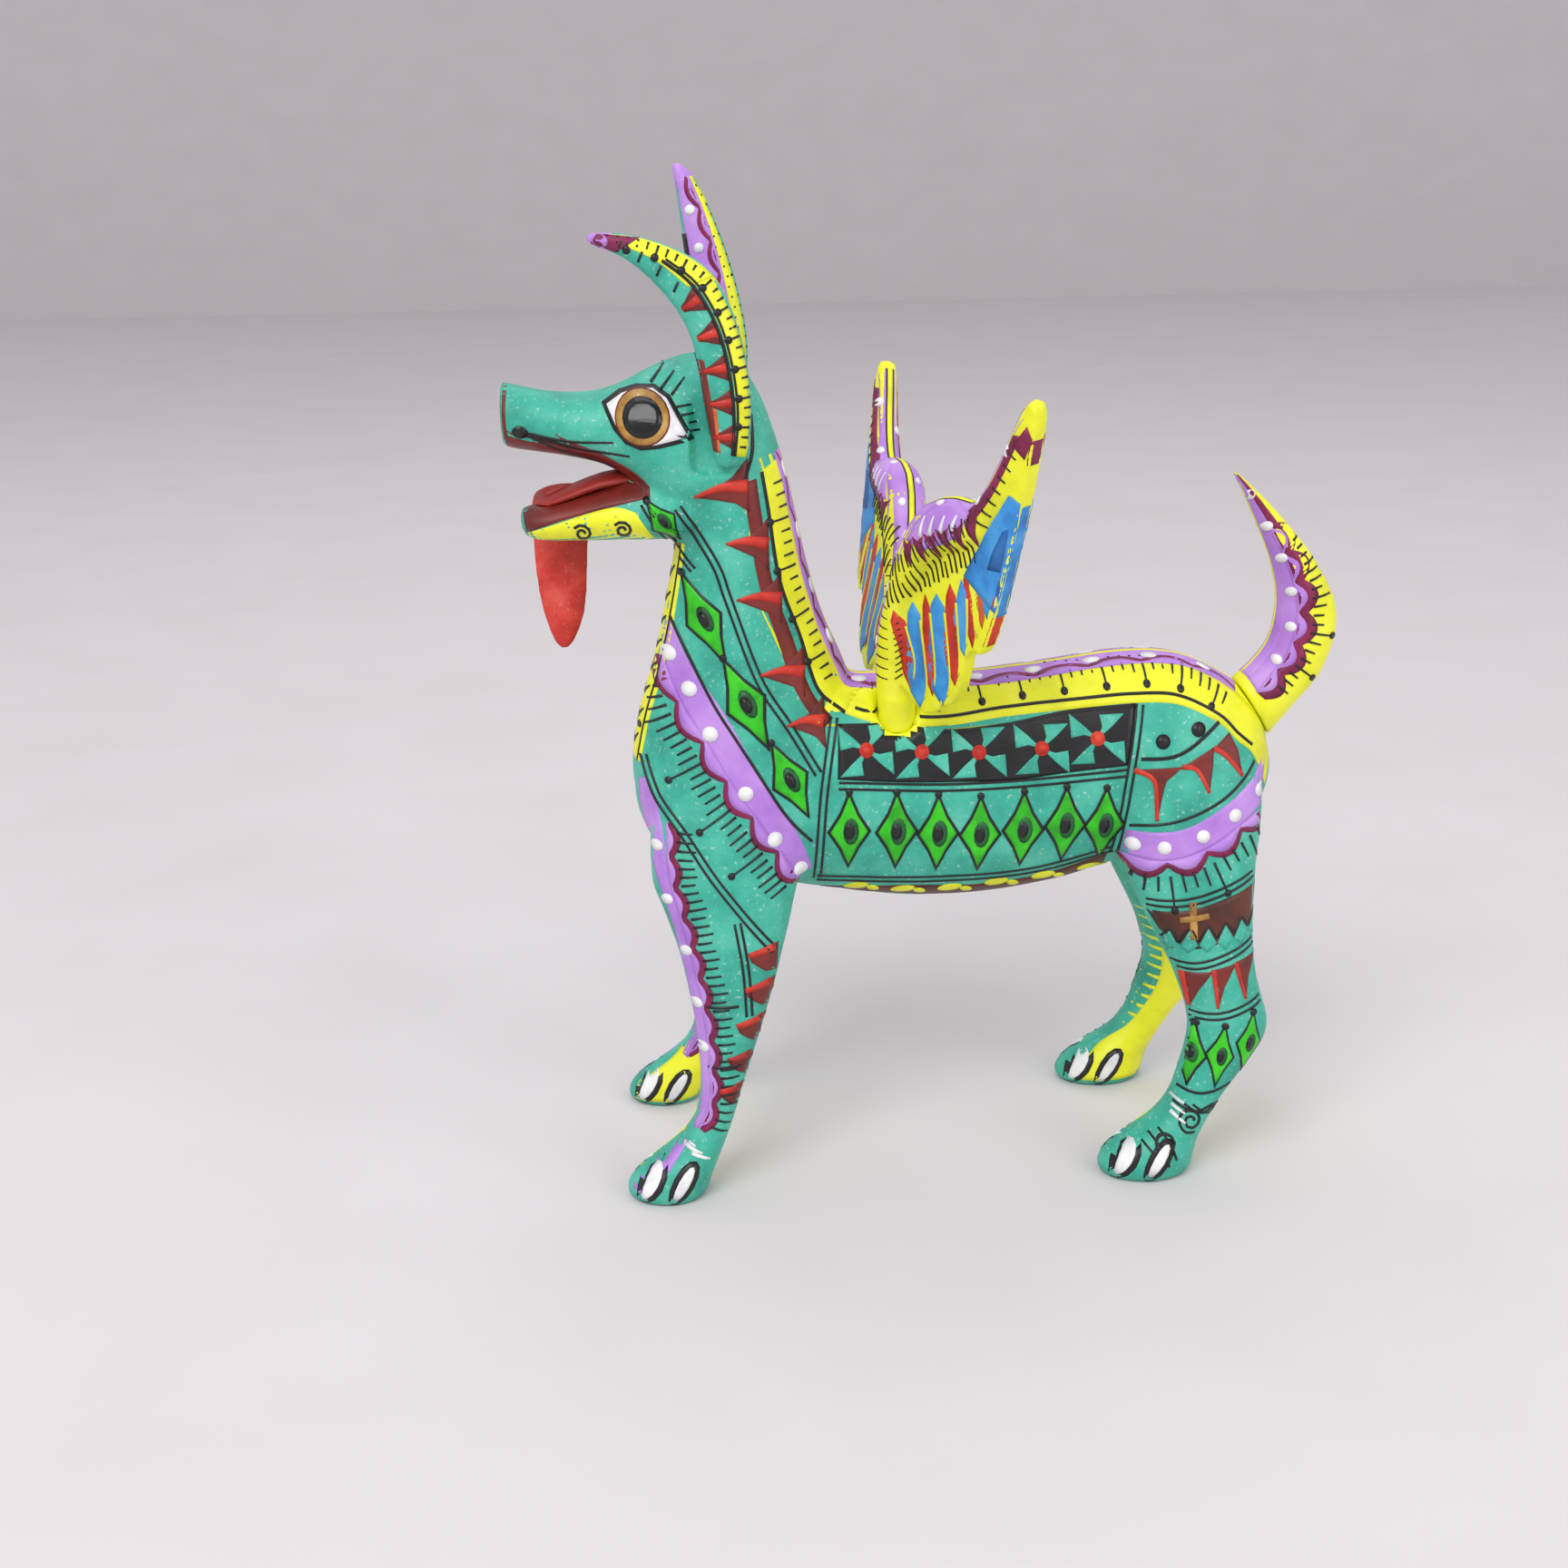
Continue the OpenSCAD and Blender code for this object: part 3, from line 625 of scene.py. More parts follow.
for side in (-1, 1):
    flank = from_side(body_tree, side)
    band(flank, BACK_EDGE, BACK_TOP, "yellow", 0.06)
    band(flank, NAPE_EDGE, [(-25.5, 126), (-24.4, 117.7), (-21.8, 105.4), (-18.8, 97.4), (-15, 90.6),
                            (-12.6, 86.6)], "yellow", 0.06)
    stroke(flank, [(p[0], p[1] + 1.4) for p in BACK_EDGE[1:-1]], 0.45)
    fringe(flank, [(p[0], p[1] + 6.2) for p in BACK_EDGE[1:-2]], 1.8, 1.7, 3.5, 4)
    fringe(flank, [(p[0] + 3.4, p[1]) for p in NAPE_EDGE[:-1]], 2.0, 1.5, 3.2, 4)
    stroke(flank, [(p[0] + 0.2, p[1]) for p in NAPE_EDGE], 0.5)

    # frame lines at the shoulder, the hip and under the flank
    double(flank, [(-17.8, 82.6), (-20, 69.7), (-20.9, 53.5)])
    double(flank, [(33.9, 83.4), (31.9, 71), (30.6, 56.6)])
    double(flank, [(-17.4, 71.7), (-0.2, 70.6), (14.2, 70.9), (31.6, 72.3)])
    double(flank, [(-20.9, 53.5), (0.4, 52.8), (15.4, 53.5), (30.4, 57.4)])
    band(flank, [(-20, 49.4), (-5, 48), (7.7, 48), (18.8, 49), (29.6, 53)],
         [(-20, 50.8), (-5, 51.4), (7.7, 50.9), (18.8, 52.6), (29.6, 56.3)], "brown")
    for k in range(6):
        dot(flank, (-14 + 8.2 * k, 50 + 0.9 * abs(k - 1.5)), 0.9, "yellow", 0.12, 2.4, 8)
        dot(flank, (-11 + 8.2 * k, 49.4 + 0.9 * abs(k - 1.5)), 0.7, "yellow", 0.12, 1.6, -20)

    # pinwheels
    band(flank, [(-17.6, 72.8), (-8, 71.9), (1.6, 71.5), (11.8, 71.5), (21.8, 72.6), (31.6, 73.6)],
         [(-17.2, 81.6), (-8, 81.2), (1.6, 80), (11.8, 80.8), (21.8, 82.6), (33.2, 83.6)], "black", 0.1)
    for x, z in ((-12.6, 77.3), (-3.2, 76.6), (6.5, 76.2), (17.1, 76.6), (26.5, 78.1)):
        half, high = 4.9, 5.2
        for a, b in (((-half, -high + 0.8), (-0.6, -high + 0.7)), ((half, -high + 0.8), (half, -0.4)),
                     ((half, high - 1), (0.5, high - 1)), ((-half, high - 1), (-half, 0.2))):
            heart = Vector((x, z))
            tip_a, tip_b = heart + Vector(a) * 0.94, heart + Vector(b) * 0.9
            bow = (tip_a - tip_b) * 0.14
            patch(flank, [tip_a, tip_a.lerp(tip_b, 0.5), tip_b, tip_b.lerp(heart, 0.5) + bow, heart,
                          tip_a.lerp(heart, 0.5) + bow * 0.3], "teal", 0.14)
        dot(flank, (x, z), 1.25, "red", 0.24)
        dot(flank, (x, z), 0.8, "red", 0.34)

    # green diamonds
    for x, z in [(-15.7, 64.2), (-7.6, 63.8), (-0.5, 63.1), (6.7, 62.6), (14.1, 63.2), (21.3, 63.8),
                 (28.1, 63.5)]:
        diamond(flank, (x, z - 0.8), (0, 1), 3.75, 7.6)

    # neck strip with red bars and teal lobes
    double(flank, [(-42.8, 118.7), (-37.1, 109.4), (-35, 103.3), (-30.4, 90.1), (-25.6, 82), (-20.8, 73.9)])
    band(flank, [(-30, 123), (-29.4, 118), (-27.7, 106), (-24.6, 96.7), (-21.6, 87.4), (-18, 82.5)],
         [(-32.5, 122.4), (-31.6, 117), (-30, 106), (-27, 96), (-24.4, 88), (-20, 80.6)], "dark_red", 0.07)
    for a, b in (((-40.1, 120.4), (-31.3, 122)), ((-35.2, 112.6), (-28.2, 112.3)),
                 ((-33.7, 103.3), (-26.2, 103.1)), ((-30.1, 90.7), (-22.6, 90.7)),
                 ((-25.8, 82), (-19.4, 82.1))):
        a, b = Vector(a), Vector(b)
        patch(flank, [a, a.lerp(b, 0.4) + Vector((0, 0.9)), a.lerp(b, 0.72) + Vector((0, 2.1)),
                      b + Vector((0, 4.4)), b - Vector((0, 4.2)), a.lerp(b, 0.75) - Vector((0, 2.3)),
                      a.lerp(b, 0.4) - Vector((0, 1.2))], "dark_red", 0.11)
        stroke(flank, [a.lerp(b, 0.98), a.lerp(b, 0.5) + Vector((0, 0.7)), a], 2.2, "red", 0.17, 0.85)

    # neck diamonds between two lines
    for at, wide, tall in (((-39.1, 100), 3.3, 8.6), ((-32.6, 86), 3.7, 9), ((-25.6, 73), 3.4, 7.6)):
        diamond(flank, at, (-0.42, 0.9), wide, tall)
    stroke(flank, [(-44.6, 99.7), (-41.4, 93), (-37.8, 85.7), (-34.2, 79.8), (-30.4, 73.5), (-26, 66.4),
                   (-22, 61.8)], 0.5)

    # lilac ribbon down the shoulder
    band(flank, [(-46.4, 98.4), (-45.4, 90.4), (-43.4, 85.6), (-39.2, 78.9), (-35, 71.5), (-28.6, 62.1),
                 (-24.4, 55.4)], [(-44.4, 98.8), (-41.8, 93), (-36, 84.1), (-31, 74.8), (-24.3, 63.2),
                                  (-21.8, 56)], "lilac", 0.06)
    ribbon = [(-46.6, 93), (-43.5, 85.6), (-39.3, 78.9), (-35.1, 71.5), (-28.7, 62.1), (-24, 54.4)]
    scallops(flank, ribbon, 7.8, 0.6, 2.6)
    fringe(flank, shifted(ribbon, 2.2), 1.5, 3.4, 6.4, 6)
    dots(flank, ((-45.1, 93.8), (-41.9, 88.4), (-38.7, 81.1), (-33.1, 71), (-28.4, 62.9), (-23.9, 56.6)),
         1.3)
    double(flank, [(-50, 76.3), (-47.7, 69.7), (-43.8, 64.6), (-38.9, 57), (-34.4, 50.8), (-29, 43.6)])

    # haunch: fish head, red fangs and lilac ribbon
    for x, z in ((37.5, 77.4), (43.7, 79.1)):
        dot(flank, (x, z), 1.25, "black")
    stroke(flank, [(33.8, 74.6), (40.3, 75.1), (47.5, 79.9)], 0.6)
    for corners in ([(32.6, 72.8), (36.2, 70.6), (36.7, 63.8), (38.2, 70.6), (41, 73)],
                    [(40.8, 73), (43.4, 72.4), (45.4, 68.6), (46.2, 73), (46.4, 76)],
                    [(46.4, 75.8), (48.6, 74.4), (51.6, 70.8), (51, 75), (49.4, 78)]):
        patch(flank, corners, "dark_red", 0.1)
        stroke(flank, [corners[0], corners[1], corners[2]], 0.9, "red", 0.17, 0.4)
    stroke(flank, [(32.5, 62.5), (40.3, 64), (48.1, 67.5), (54.4, 72.4)], 0.45)
    band(flank, [(31.6, 57.4), (38.2, 57), (45, 59), (51.4, 62.6), (56.6, 66)],
         [(32, 61.6), (40.3, 62.4), (47.4, 65.8), (54, 70.2), (57.2, 73)], "lilac", 0.06)
    hip = [(57.4, 65), (51.4, 62.3), (45, 58.7), (38.2, 56.7), (31.4, 57)]
    scallops(flank, hip[::-1], 6.6, 0.8, 3.0)
    fringe(flank, shifted(hip[::-1], 2.4), 1.9, 3, 6, 4)
    dots(flank, ((33.1, 59.4), (37.9, 59.3), (44.3, 61.3), (50, 64.4), (55.3, 67.7)), 1.15)

# yellow throat band down the front of the chest, with black leaf marks
THROAT = [(-44.6, 112), (-44.8, 104), (-46.3, 97), (-48.2, 90), (-50.3, 83), (-52, 75)]
throat_wrap, throat_long = over_spine(body_tree, THROAT[::-1])
runner(throat_wrap, throat_long, (-5, -3.4, -1.7, 0, 1.7, 3.4, 5), "yellow", 0.06)
for w in (-3.9, 3.9):
    stroke(throat_wrap, [(0, w), (throat_long - 1, w)], 0.4)
for i in range(3, throat_long - 2, 4):
    for side in (-1, 1):
        stroke(throat_wrap, [(i, 0.4 * side), (i + 1.6, 2.6 * side)], 0.9, taper=0.7)

finish_film("body_paint", "trunk")

# --- Head paint ---
# The head is teal with brown lips and nose plate, a yellow chin with spirals, and big almond
# eyes: a black rim, white corners, a gold ring and a glossy black pupil.
MOUTH_X, MOUTH_Z, MOUTH_RISE = -50, 122.6, 0.07  # a point midway between the jaws, and their slope


def from_front(y, z):
    """Wraps (y, z) on the nose plate."""
    return pressed_on(body_tree, place(-90, y, z), Vector((1, 0, 0)))


def inside_mouth(up):
    """Wraps (x, y) on the roof (1) or floor (-1) of the mouth."""

    def wrap(x, y):
        return pressed_on(body_tree, place(x, y, MOUTH_Z + MOUTH_RISE * (x - MOUTH_X)), Vector((0, 0, up)))

    return wrap


def spiral(wrap, at, size, turns=1.4):
    """A black line that curls out from its middle."""
    line = []
    for k in range(15):
        angle, r = math.tau * turns * k / 14, size * (0.25 + 0.75 * k / 14)
        line.append((at[0] + r * math.cos(angle), at[1] + r * math.sin(angle)))
    stroke(wrap, line, 0.45, step=0.7)


for wide, tall, colour, lift in ((5.9, 5.1, "dark_red", 0.06), (4.2, 3.7, "brown", 0.12)):
    patch(from_front, oval((0, 133.1), wide, tall, 24), colour, lift)
for side in (-1, 1):
    cheek = from_side(body_tree, side)
    # nose plate edge, lips and mouth corner
    band(cheek, [(-70.6, 128.4), (-70.8, 133), (-70.7, 137.8)],
         [(-69.5, 128.4), (-69.8, 133), (-69.6, 137.9)], "dark_red", 0.08, 0.7)
    band(cheek, [(-70, 128.2), (-66, 127.5), (-60, 126.5), (-54.5, 125.1), (-50, 122.4), (-47.2, 120.2)],
         [(-69.6, 130.4), (-66, 129.3), (-60, 128.2), (-54.5, 126.9), (-50, 124.6), (-47.2, 122)],
         "dark_red", 0.08, 0.5)
    band(cheek, [(-67.6, 114.4), (-63, 116.1), (-58, 117.6), (-52.7, 119), (-47.6, 120.2)],
         [(-68.2, 118), (-63, 119.6), (-58, 121.4), (-52.7, 122.6), (-47.4, 121.6)], "dark_red", 0.08, 0.7)
    for up in (-1, 1):
        sheet(inside_mouth(up), [[(x, side * y) for x in range(-70, -47)]
                                 for y in (0, 1.2, 2.4, 3.6, 4.8, 5.8, 6.6)], "dark_red", 0.05)
    # chin and jaw diamond
    band(cheek, [(-66.4, 110.8), (-60, 110), (-54, 109.6), (-49.6, 110.4), (-46, 112)],
         [(-67.4, 114.4), (-62, 116.2), (-57, 117.8), (-52.7, 118.8), (-49.6, 118)], "yellow", 0.06)
    for at in ((-58.4, 114.4), (-51.8, 115)):
        spiral(cheek, at, 1.6)
    diamond(cheek, (-45.2, 116.4), (-0.6, 0.8), 2.4, 4.8)
    double(cheek, [(-48.3, 119.4), (-43.6, 111.6), (-40.6, 108)], 0.9)
    # nostril and whisker lines
    dot(cheek, (-67.6, 131), 1.0, "black", 0.16, 1.3, -10)
    for far in ((-52.7, 129.3), (-50.2, 127.1), (-52.5, 125)):
        stroke(cheek, [(-67.4, 131), ((far[0] - 67.6) / 2, (far[1] + 130.2) / 2 - 0.3), far], 0.5,
               taper=0.5)
    # eye
    almond = [(-54.4, 135.4), (-52.6, 131.4), (-50.8, 129.2), (-48.4, 128.2), (-45.4, 128.5),
              (-42.4, 129.2), (-39.8, 129.8), (-41.6, 133.2), (-43.4, 136.6), (-45.8, 138.2),
              (-48.8, 138.1), (-51.6, 137.2)]
    eye = Vector((-47.9, 133.2))
    patch(cheek, almond, "black", 0.1)
    patch(cheek, [Vector(p).lerp(eye, 0.13) for p in almond], "white", 0.15)
    for radius, colour, lift in ((4.4, "dark_red", 0.19), (4.15, "gold", 0.23), (3.15, "pupil", 0.29)):
        patch(cheek, oval(eye, radius, radius, 24), colour, lift)
    # three long lashes over the eye and four short ones behind it
    for k in range(3):
        foot = Vector((-46.4 + 1.6 * k, 138.4 - 0.9 * k))
        stroke(cheek, [foot, foot + Vector((2.2, 2.6))], 0.42, taper=0.5)
    for k in range(4):
        stroke(cheek, [(-42.8 + 0.55 * k, 134.8 - 1.25 * k), (-40.2 + 0.45 * k, 135.2 - 1.35 * k)], 0.4,
               taper=0.4)
    # line down behind the jaw
    stroke(cheek, [(-32.4, 122), (-30.6, 127), (-30.6, 133)], 0.5)
finish_film("head_paint", "trunk")

# --- Leg paint ---
# The legs go on with the body's ground colour. Outside they carry lines, ticks, red triangles and
# diamonds; the front edge has a lilac ribbon, and the inner faces are half yellow.


def claws(wrap, toe_x, step):
    """Long slanting claws: a white streak in a thick black outline."""
    for k in range(2):
        at = (toe_x + step * k, 4.2)
        dot(wrap, at, 1.9, "black", 0.1, 2.3, 58)
        dot(wrap, at, 0.95, "white", 0.16, 3.5, 58)


for side in (-1, 1):
    outer, inner = from_side(body_tree, side), from_middle(body_tree, side)
    # front leg, outside
    shin = [(-51, 72), (-50.6, 66), (-48.6, 57), (-46.2, 49), (-44.6, 42), (-43.2, 34), (-42.3, 26),
            (-42.2, 18), (-44.4, 12.4)]
    band(outer, shin, [(-49.4, 73), (-47.4, 66), (-46.4, 57), (-44.6, 49), (-43, 42), (-41.6, 34),
                       (-40.8, 26), (-40.8, 18), (-43, 12.8)], "lilac", 0.06, 0.8)
    edge = [(-46.2, 66), (-46, 57), (-44.2, 49), (-42.6, 42), (-41.2, 34), (-40.4, 26), (-40.4, 18),
            (-42.6, 12.8)]
    scallops(outer, edge[::-1], 5.6, 0.8, 2.0)
    fringe(outer, shifted(edge[::-1], 1.4), 1.5, 2.8, 0, 0)
    dots(outer, ((-48.2, 62), (-46.8, 53), (-43.9, 44.1), (-42.4, 34.9), (-41.6, 27.2)), 0.95)
    double(outer, [(-35.2, 49.3), (-34, 41), (-33.6, 32.7)], 1.0)
    for z in (34.5, 23.8):
        stroke(outer, [(-40.9, z), (-35.4, z + 0.3)], 0.45)
    for x, z in ((-31.2, 42.3), (-32, 36.2), (-33.6, 30), (-35.2, 24), (-36.8, 18.4)):
        patch(outer, [(x + 3, z + 2.6), (x - 2.4, z + 1.6), (x - 1.8, z), (x + 0.6, z - 2),
                      (x + 2.6, z - 2.4)], "dark_red", 0.1)
        stroke(outer, [(x + 2.4, z + 2), (x - 2.2, z + 1.2)], 1.3, "red", 0.16, 0.3)
    band(outer, [(-55.6, 3), (-54.6, 6.4), (-51.4, 9), (-47.4, 11.6)],
         [(-52, 1.6), (-50, 4), (-47.6, 7), (-44.8, 10.6)], "lilac", 0.06, 0.8)
    claws(outer, -51.2, 5.4)
    for k in range(3):
        stroke(outer, [(-46.6 + k * 1.2, 11.4 - k * 1.1), (-43.6 + k * 1.2, 10.2 - k * 1.1)], 0.7, "white",
               0.18, 0.5)
    # front leg, inside: yellow with a lilac ribbon in front
    band(inner, [(-46.4, 46), (-43.6, 36), (-41.9, 26), (-42, 18), (-46, 10.6), (-52.8, 5), (-54.6, 1.2)],
         [(-28.6, 46), (-31, 36), (-33.6, 26), (-36, 18), (-38.4, 10.6), (-40.6, 5), (-42.4, 1.2)],
         "yellow", 0.06)
    band(inner, [(-46.4, 46), (-43.6, 36), (-41.9, 26), (-42, 18), (-46, 11)],
         [(-44, 46), (-41.4, 36), (-39.9, 26), (-40.2, 18), (-44, 10)], "lilac", 0.1, 0.8)
    scallops(inner, [(-43.9, 10.4), (-40, 18), (-39.7, 26), (-41.2, 36), (-43.8, 46)], 5.6, 0.4, 1.4, 0.12)
    claws(inner, -51.6, 5.4)
    # hind leg, outside
    double(outer, [(34.4, 49.2), (41.9, 50), (48, 51.6), (54, 53.4)])
    band(outer, [(37.6, 44.6), (42, 41.8), (47, 42.6), (52.3, 44.6), (54.6, 46.4)],
         [(35.6, 47.8), (41.9, 48.6), (48, 50.2), (53, 51.4), (54.8, 51.8)], "brown", 0.07)
    for k in range(6):
        x = 37.6 + 3.1 * k
        patch(outer, [(x, 41.4 + 0.5 * k), (x + 1.5, 44.6 + 0.4 * k), (x + 3, 41.9 + 0.5 * k),
                      (x + 1.5, 40.4 + 0.4 * k)], "teal", 0.11)
        stroke(outer, [(x, 42.2 + 0.5 * k), (x + 1.5, 45 + 0.4 * k), (x + 3, 42.6 + 0.5 * k)], 0.35)
    stroke(outer, [(42.6, 50), (43, 43.4)], 1.2, "gold", 0.15)
    stroke(outer, [(40.6, 46.8), (45.4, 47.6)], 1.0, "gold", 0.15)
    double(outer, [(39.8, 38.4), (43.8, 38.6), (49, 40.2), (54, 41.9)])
    for corners in ([(41.4, 37.2), (43.1, 30.6), (46.2, 37.6)], [(46.4, 38), (47.4, 31), (50.4, 38.8)],
                    [(50.4, 39), (52.3, 32.4), (54.6, 39.8)]):
        a, b, c = [Vector(p) for p in corners]
        patch(outer, [a, a.lerp(b, 0.5) + Vector((0.5, 0)), b, c.lerp(b, 0.5) - Vector((0.5, 0)), c,
                      a.lerp(c, 0.5)], "dark_red", 0.1)
        stroke(outer, [a, b], 0.9, "red", 0.16, 0.5)
    double(outer, [(43.2, 29.2), (47.8, 29.6), (52, 30.8), (56.4, 32.2)])
    for at in ((43.3, 22.4), (47.9, 22.4), (53, 24.4)):
        diamond(outer, at, (0.14, 1), 2.55, 6)
    stroke(outer, [(41.2, 16.2), (45, 15.6), (50.2, 16.8)], 0.45)
    spiral(outer, (43, 10.8), 2.3, 1.8)
    spiral(outer, (38.6, 7), 1.9, 1.6)
    for k in range(3):
        stroke(outer, [(40.4 + 1.5 * k, 13.6), (43.8 + 1.3 * k, 12.4 - 0.4 * k), (47 + 0.6 * k, 13.4)], 0.4)
        stroke(outer, [(33.4 + 1.4 * k, 8.4 + 1.2 * k), (36.6 + 1.2 * k, 5 + 1.2 * k),
                       (37.6 + 1.4 * k, 2 + k)], 0.4)
    for k in range(3):
        stroke(outer, [(38.6 + k * 0.6, 15 - k * 1.5), (42, 13.6 - k * 1.6)], 0.7, "white", 0.18, 0.5)
    claws(outer, 31.6, 5.6)
    # hind leg, inside: yellow at the back with a dry-brush edge
    band(inner, [(41, 45), (43, 38), (45.6, 30), (45.6, 22), (41, 13), (34, 7), (29.4, 1.4)],
         [(54.6, 45), (54.8, 38), (56.8, 30), (54.4, 22), (48.4, 13), (45.2, 7), (43.4, 1.4)], "yellow",
         0.06)
    for k in range(16):
        z = 12 + 2.1 * k
        x = 40.4 + (z - 12) * 0.4 if z < 24 else 45.2 - (z - 24) * 0.16
        stroke(inner, [(x + 1.4, z), (x - 1.6 - (k * 7 % 5) * 0.3, z + 0.8)], 0.8, "yellow", 0.07, 0.8)
    claws(inner, 31.4, 5.4)
finish_film("leg_paint", "trunk")

# --- Ears ---
# Each ear is a curved horn of copal, teal and red on its outer face, with a yellow back edge, and
# lilac with white dots on the face turned to the other ear.
EAR_OUT = 13  # from the middle plane to an ear's tip
HORN_END = 4.2  # how far down from its tip an ear is lilac all round


def ear_piece(name, outer_side, back, front, tip):
    """An ear's skin and paint; back and front are its two edges from the root up to its tip."""
    skin = wood_skin(f"{name}_skin", [name], 0.36, 4, 0.08)
    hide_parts(name)
    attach(skin, name)
    horn_end = place(tip[0], outer_side * EAR_OUT, tip[1])
    ground(skin, PAINTS["teal"], PAINTS["lilac"], lambda at: (at - horn_end).length < HORN_END * MM)
    tree = tree_of(skin)

    def along(share):
        return between(front, back, share)

    outside, inside = from_side(tree, outer_side), from_side(tree, -outer_side, 0)
    last = len(back) - 1
    band(outside, along(0.66), along(1.06), "yellow", 0.05, 0.7)
    band(outside, along(0.5)[last - 3:], along(1.06)[last - 3:], "yellow", 0.055, 0.7)
    stroke(outside, along(0.6)[:last - 1], 0.5)
    stroke(outside, along(0.69)[:last - 1], 0.35)
    fringe(outside, along(0.98)[::-1], 1.6, 1.0, 1.8, 3)
    band(outside, along(-0.08)[:3], along(0.13)[:3], "dark_red", 0.07, 0.6)
    band(outside, along(0.13)[:2], along(0.22)[:2], "orange", 0.06, 0.6)
    bars = spaced(along(0.34)[:last - 2], 11)
    for i in range(1, 11, 2):
        out = across(bars, i)
        run = Vector((-out.y, out.x))
        patch(outside, [bars[i] + out * 1.7 + run * 2.1, bars[i] + out * 1.7 - run * 2.1,
                        bars[i] - out * 0.4 - run * 0.9, bars[i] - out * 2.6,
                        bars[i] - out * 0.4 + run * 0.9], "dark_red", 0.1)
        stroke(outside, [bars[i] + out * 1.6, bars[i] - out * 2.5], 1.5, "red", 0.15, 0.8)
    for at in spaced(along(0.2)[last - 3:last], 4):
        stroke(outside, [at, at + Vector((0.7, 1.5))], 0.35)
    band(outside, along(-0.08)[-2:], along(1.08)[-2:], "burgundy", 0.08, 0.5)
    dot(outside, along(0.5)[-1] + (along(0.5)[-2] - along(0.5)[-1]) * 0.2, 0.9, "lilac", 0.13, 1.4, 160)
    band(inside, along(-0.04), along(1.04), "lilac", 0.05, 0.8)
    band(inside, along(0.72), along(1.04), "yellow", 0.08, 0.8)
    scallops(inside, along(0.7)[::-1], 5.6, 0.3, 1.3, 0.11)
    fringe(inside, along(0.98)[::-1], 1.7, 1.2, 0, 0)
    dots(inside, spaced(along(0.34)[:-1], 7)[1:], 0.8, 0.18)
    stroke(inside, along(0.03), 0.6)
    finish_film(f"{name}_paint", name)


ear_piece("left_ear", -1, [(-32, 127), (-30.8, 134), (-31.4, 141.5), (-33.2, 148.6), (-36.6, 154.8),
                           (-41.4, 158.4), (-47.6, 160.8), (-53.8, 161.6)],
          [(-36.8, 128), (-37.8, 135), (-39, 142.5), (-40.8, 147.8), (-43.8, 152.4), (-48, 156.4),
           (-51.6, 158.6), (-54.8, 160.3)], (-55.6, 161))
ear_piece("right_ear", 1, [(-32, 127), (-30.6, 134), (-30, 142), (-31, 149.4), (-33, 157), (-35.8, 164.4),
                           (-38.6, 169.6)], [(-36.8, 128), (-37.6, 135), (-38.4, 143), (-39, 150),
                                             (-39.8, 157.5), (-40.6, 164.3), (-41.3, 169.4)],
          (-41.4, 171.6))

# --- Tail ---
# A sickle of copal pushed into the rump: lilac with white dots along the inside of the curve, a
# burgundy scalloped edge, and yellow with long black ticks outside.
tail_skin = wood_skin("tail_skin", ["tail"], 0.38, 4, 0.08)
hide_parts("tail")
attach(tail_skin, "tail")
tail_skin.data.materials.append(PAINTS["yellow"])
tail_tree = tree_of(tail_skin)
TAIL_IN = [(54.6, 85.4), (56.4, 87.6), (58.8, 91.2), (59.9, 95.8), (59.6, 101), (58, 106.6), (55.6, 112),
           (53, 117), (51.2, 120.2)]
TAIL_OUT = [(60, 76), (63.2, 79.8), (67.6, 85.2), (70, 92), (69.4, 98.3), (65.9, 104.6), (61.5, 110.2),
            (56.2, 116), (52, 120)]
for side in (-1, 1):
    sickle = from_side(tail_tree, side)
    middle = between(TAIL_IN, TAIL_OUT, 0.27)
    band(sickle, between(TAIL_IN, TAIL_OUT, -0.07), middle, "lilac", 0.05, 0.6)
    scallops(sickle, middle[:-2], 5.4, 1.5, 3.4)
    band(sickle, middle[-3:], between(TAIL_IN, TAIL_OUT, 0.62)[-3:], "burgundy", 0.09, 0.6)
    dots(sickle, spaced(between(TAIL_IN, TAIL_OUT, 0.17)[:-1], 7)[1:], 0.85, 0.18)
    fringe(sickle, [p + Vector((2.4, 0.2)) for p in middle[:-2]], 1.5, 2.2, 4.4, 4)
hollow, hollow_long = over_spine(tail_tree, TAIL_IN[:-1], 12)
runner(hollow, hollow_long, (-2.7, -1.8, -0.9, 0, 0.9, 1.8, 2.7), "lilac", 0.07)
runner(hollow, hollow_long, (-0.3, 0, 0.3), "yellow", 0.12)
finish_film("tail_film", "tail")

# --- Wings ---
# Thin carved wings on round stems. Yellow with fine hatching over a lilac shoulder, and long
# feathers in blue, red and orange below; the upper edge is lilac with a yellow centre line.


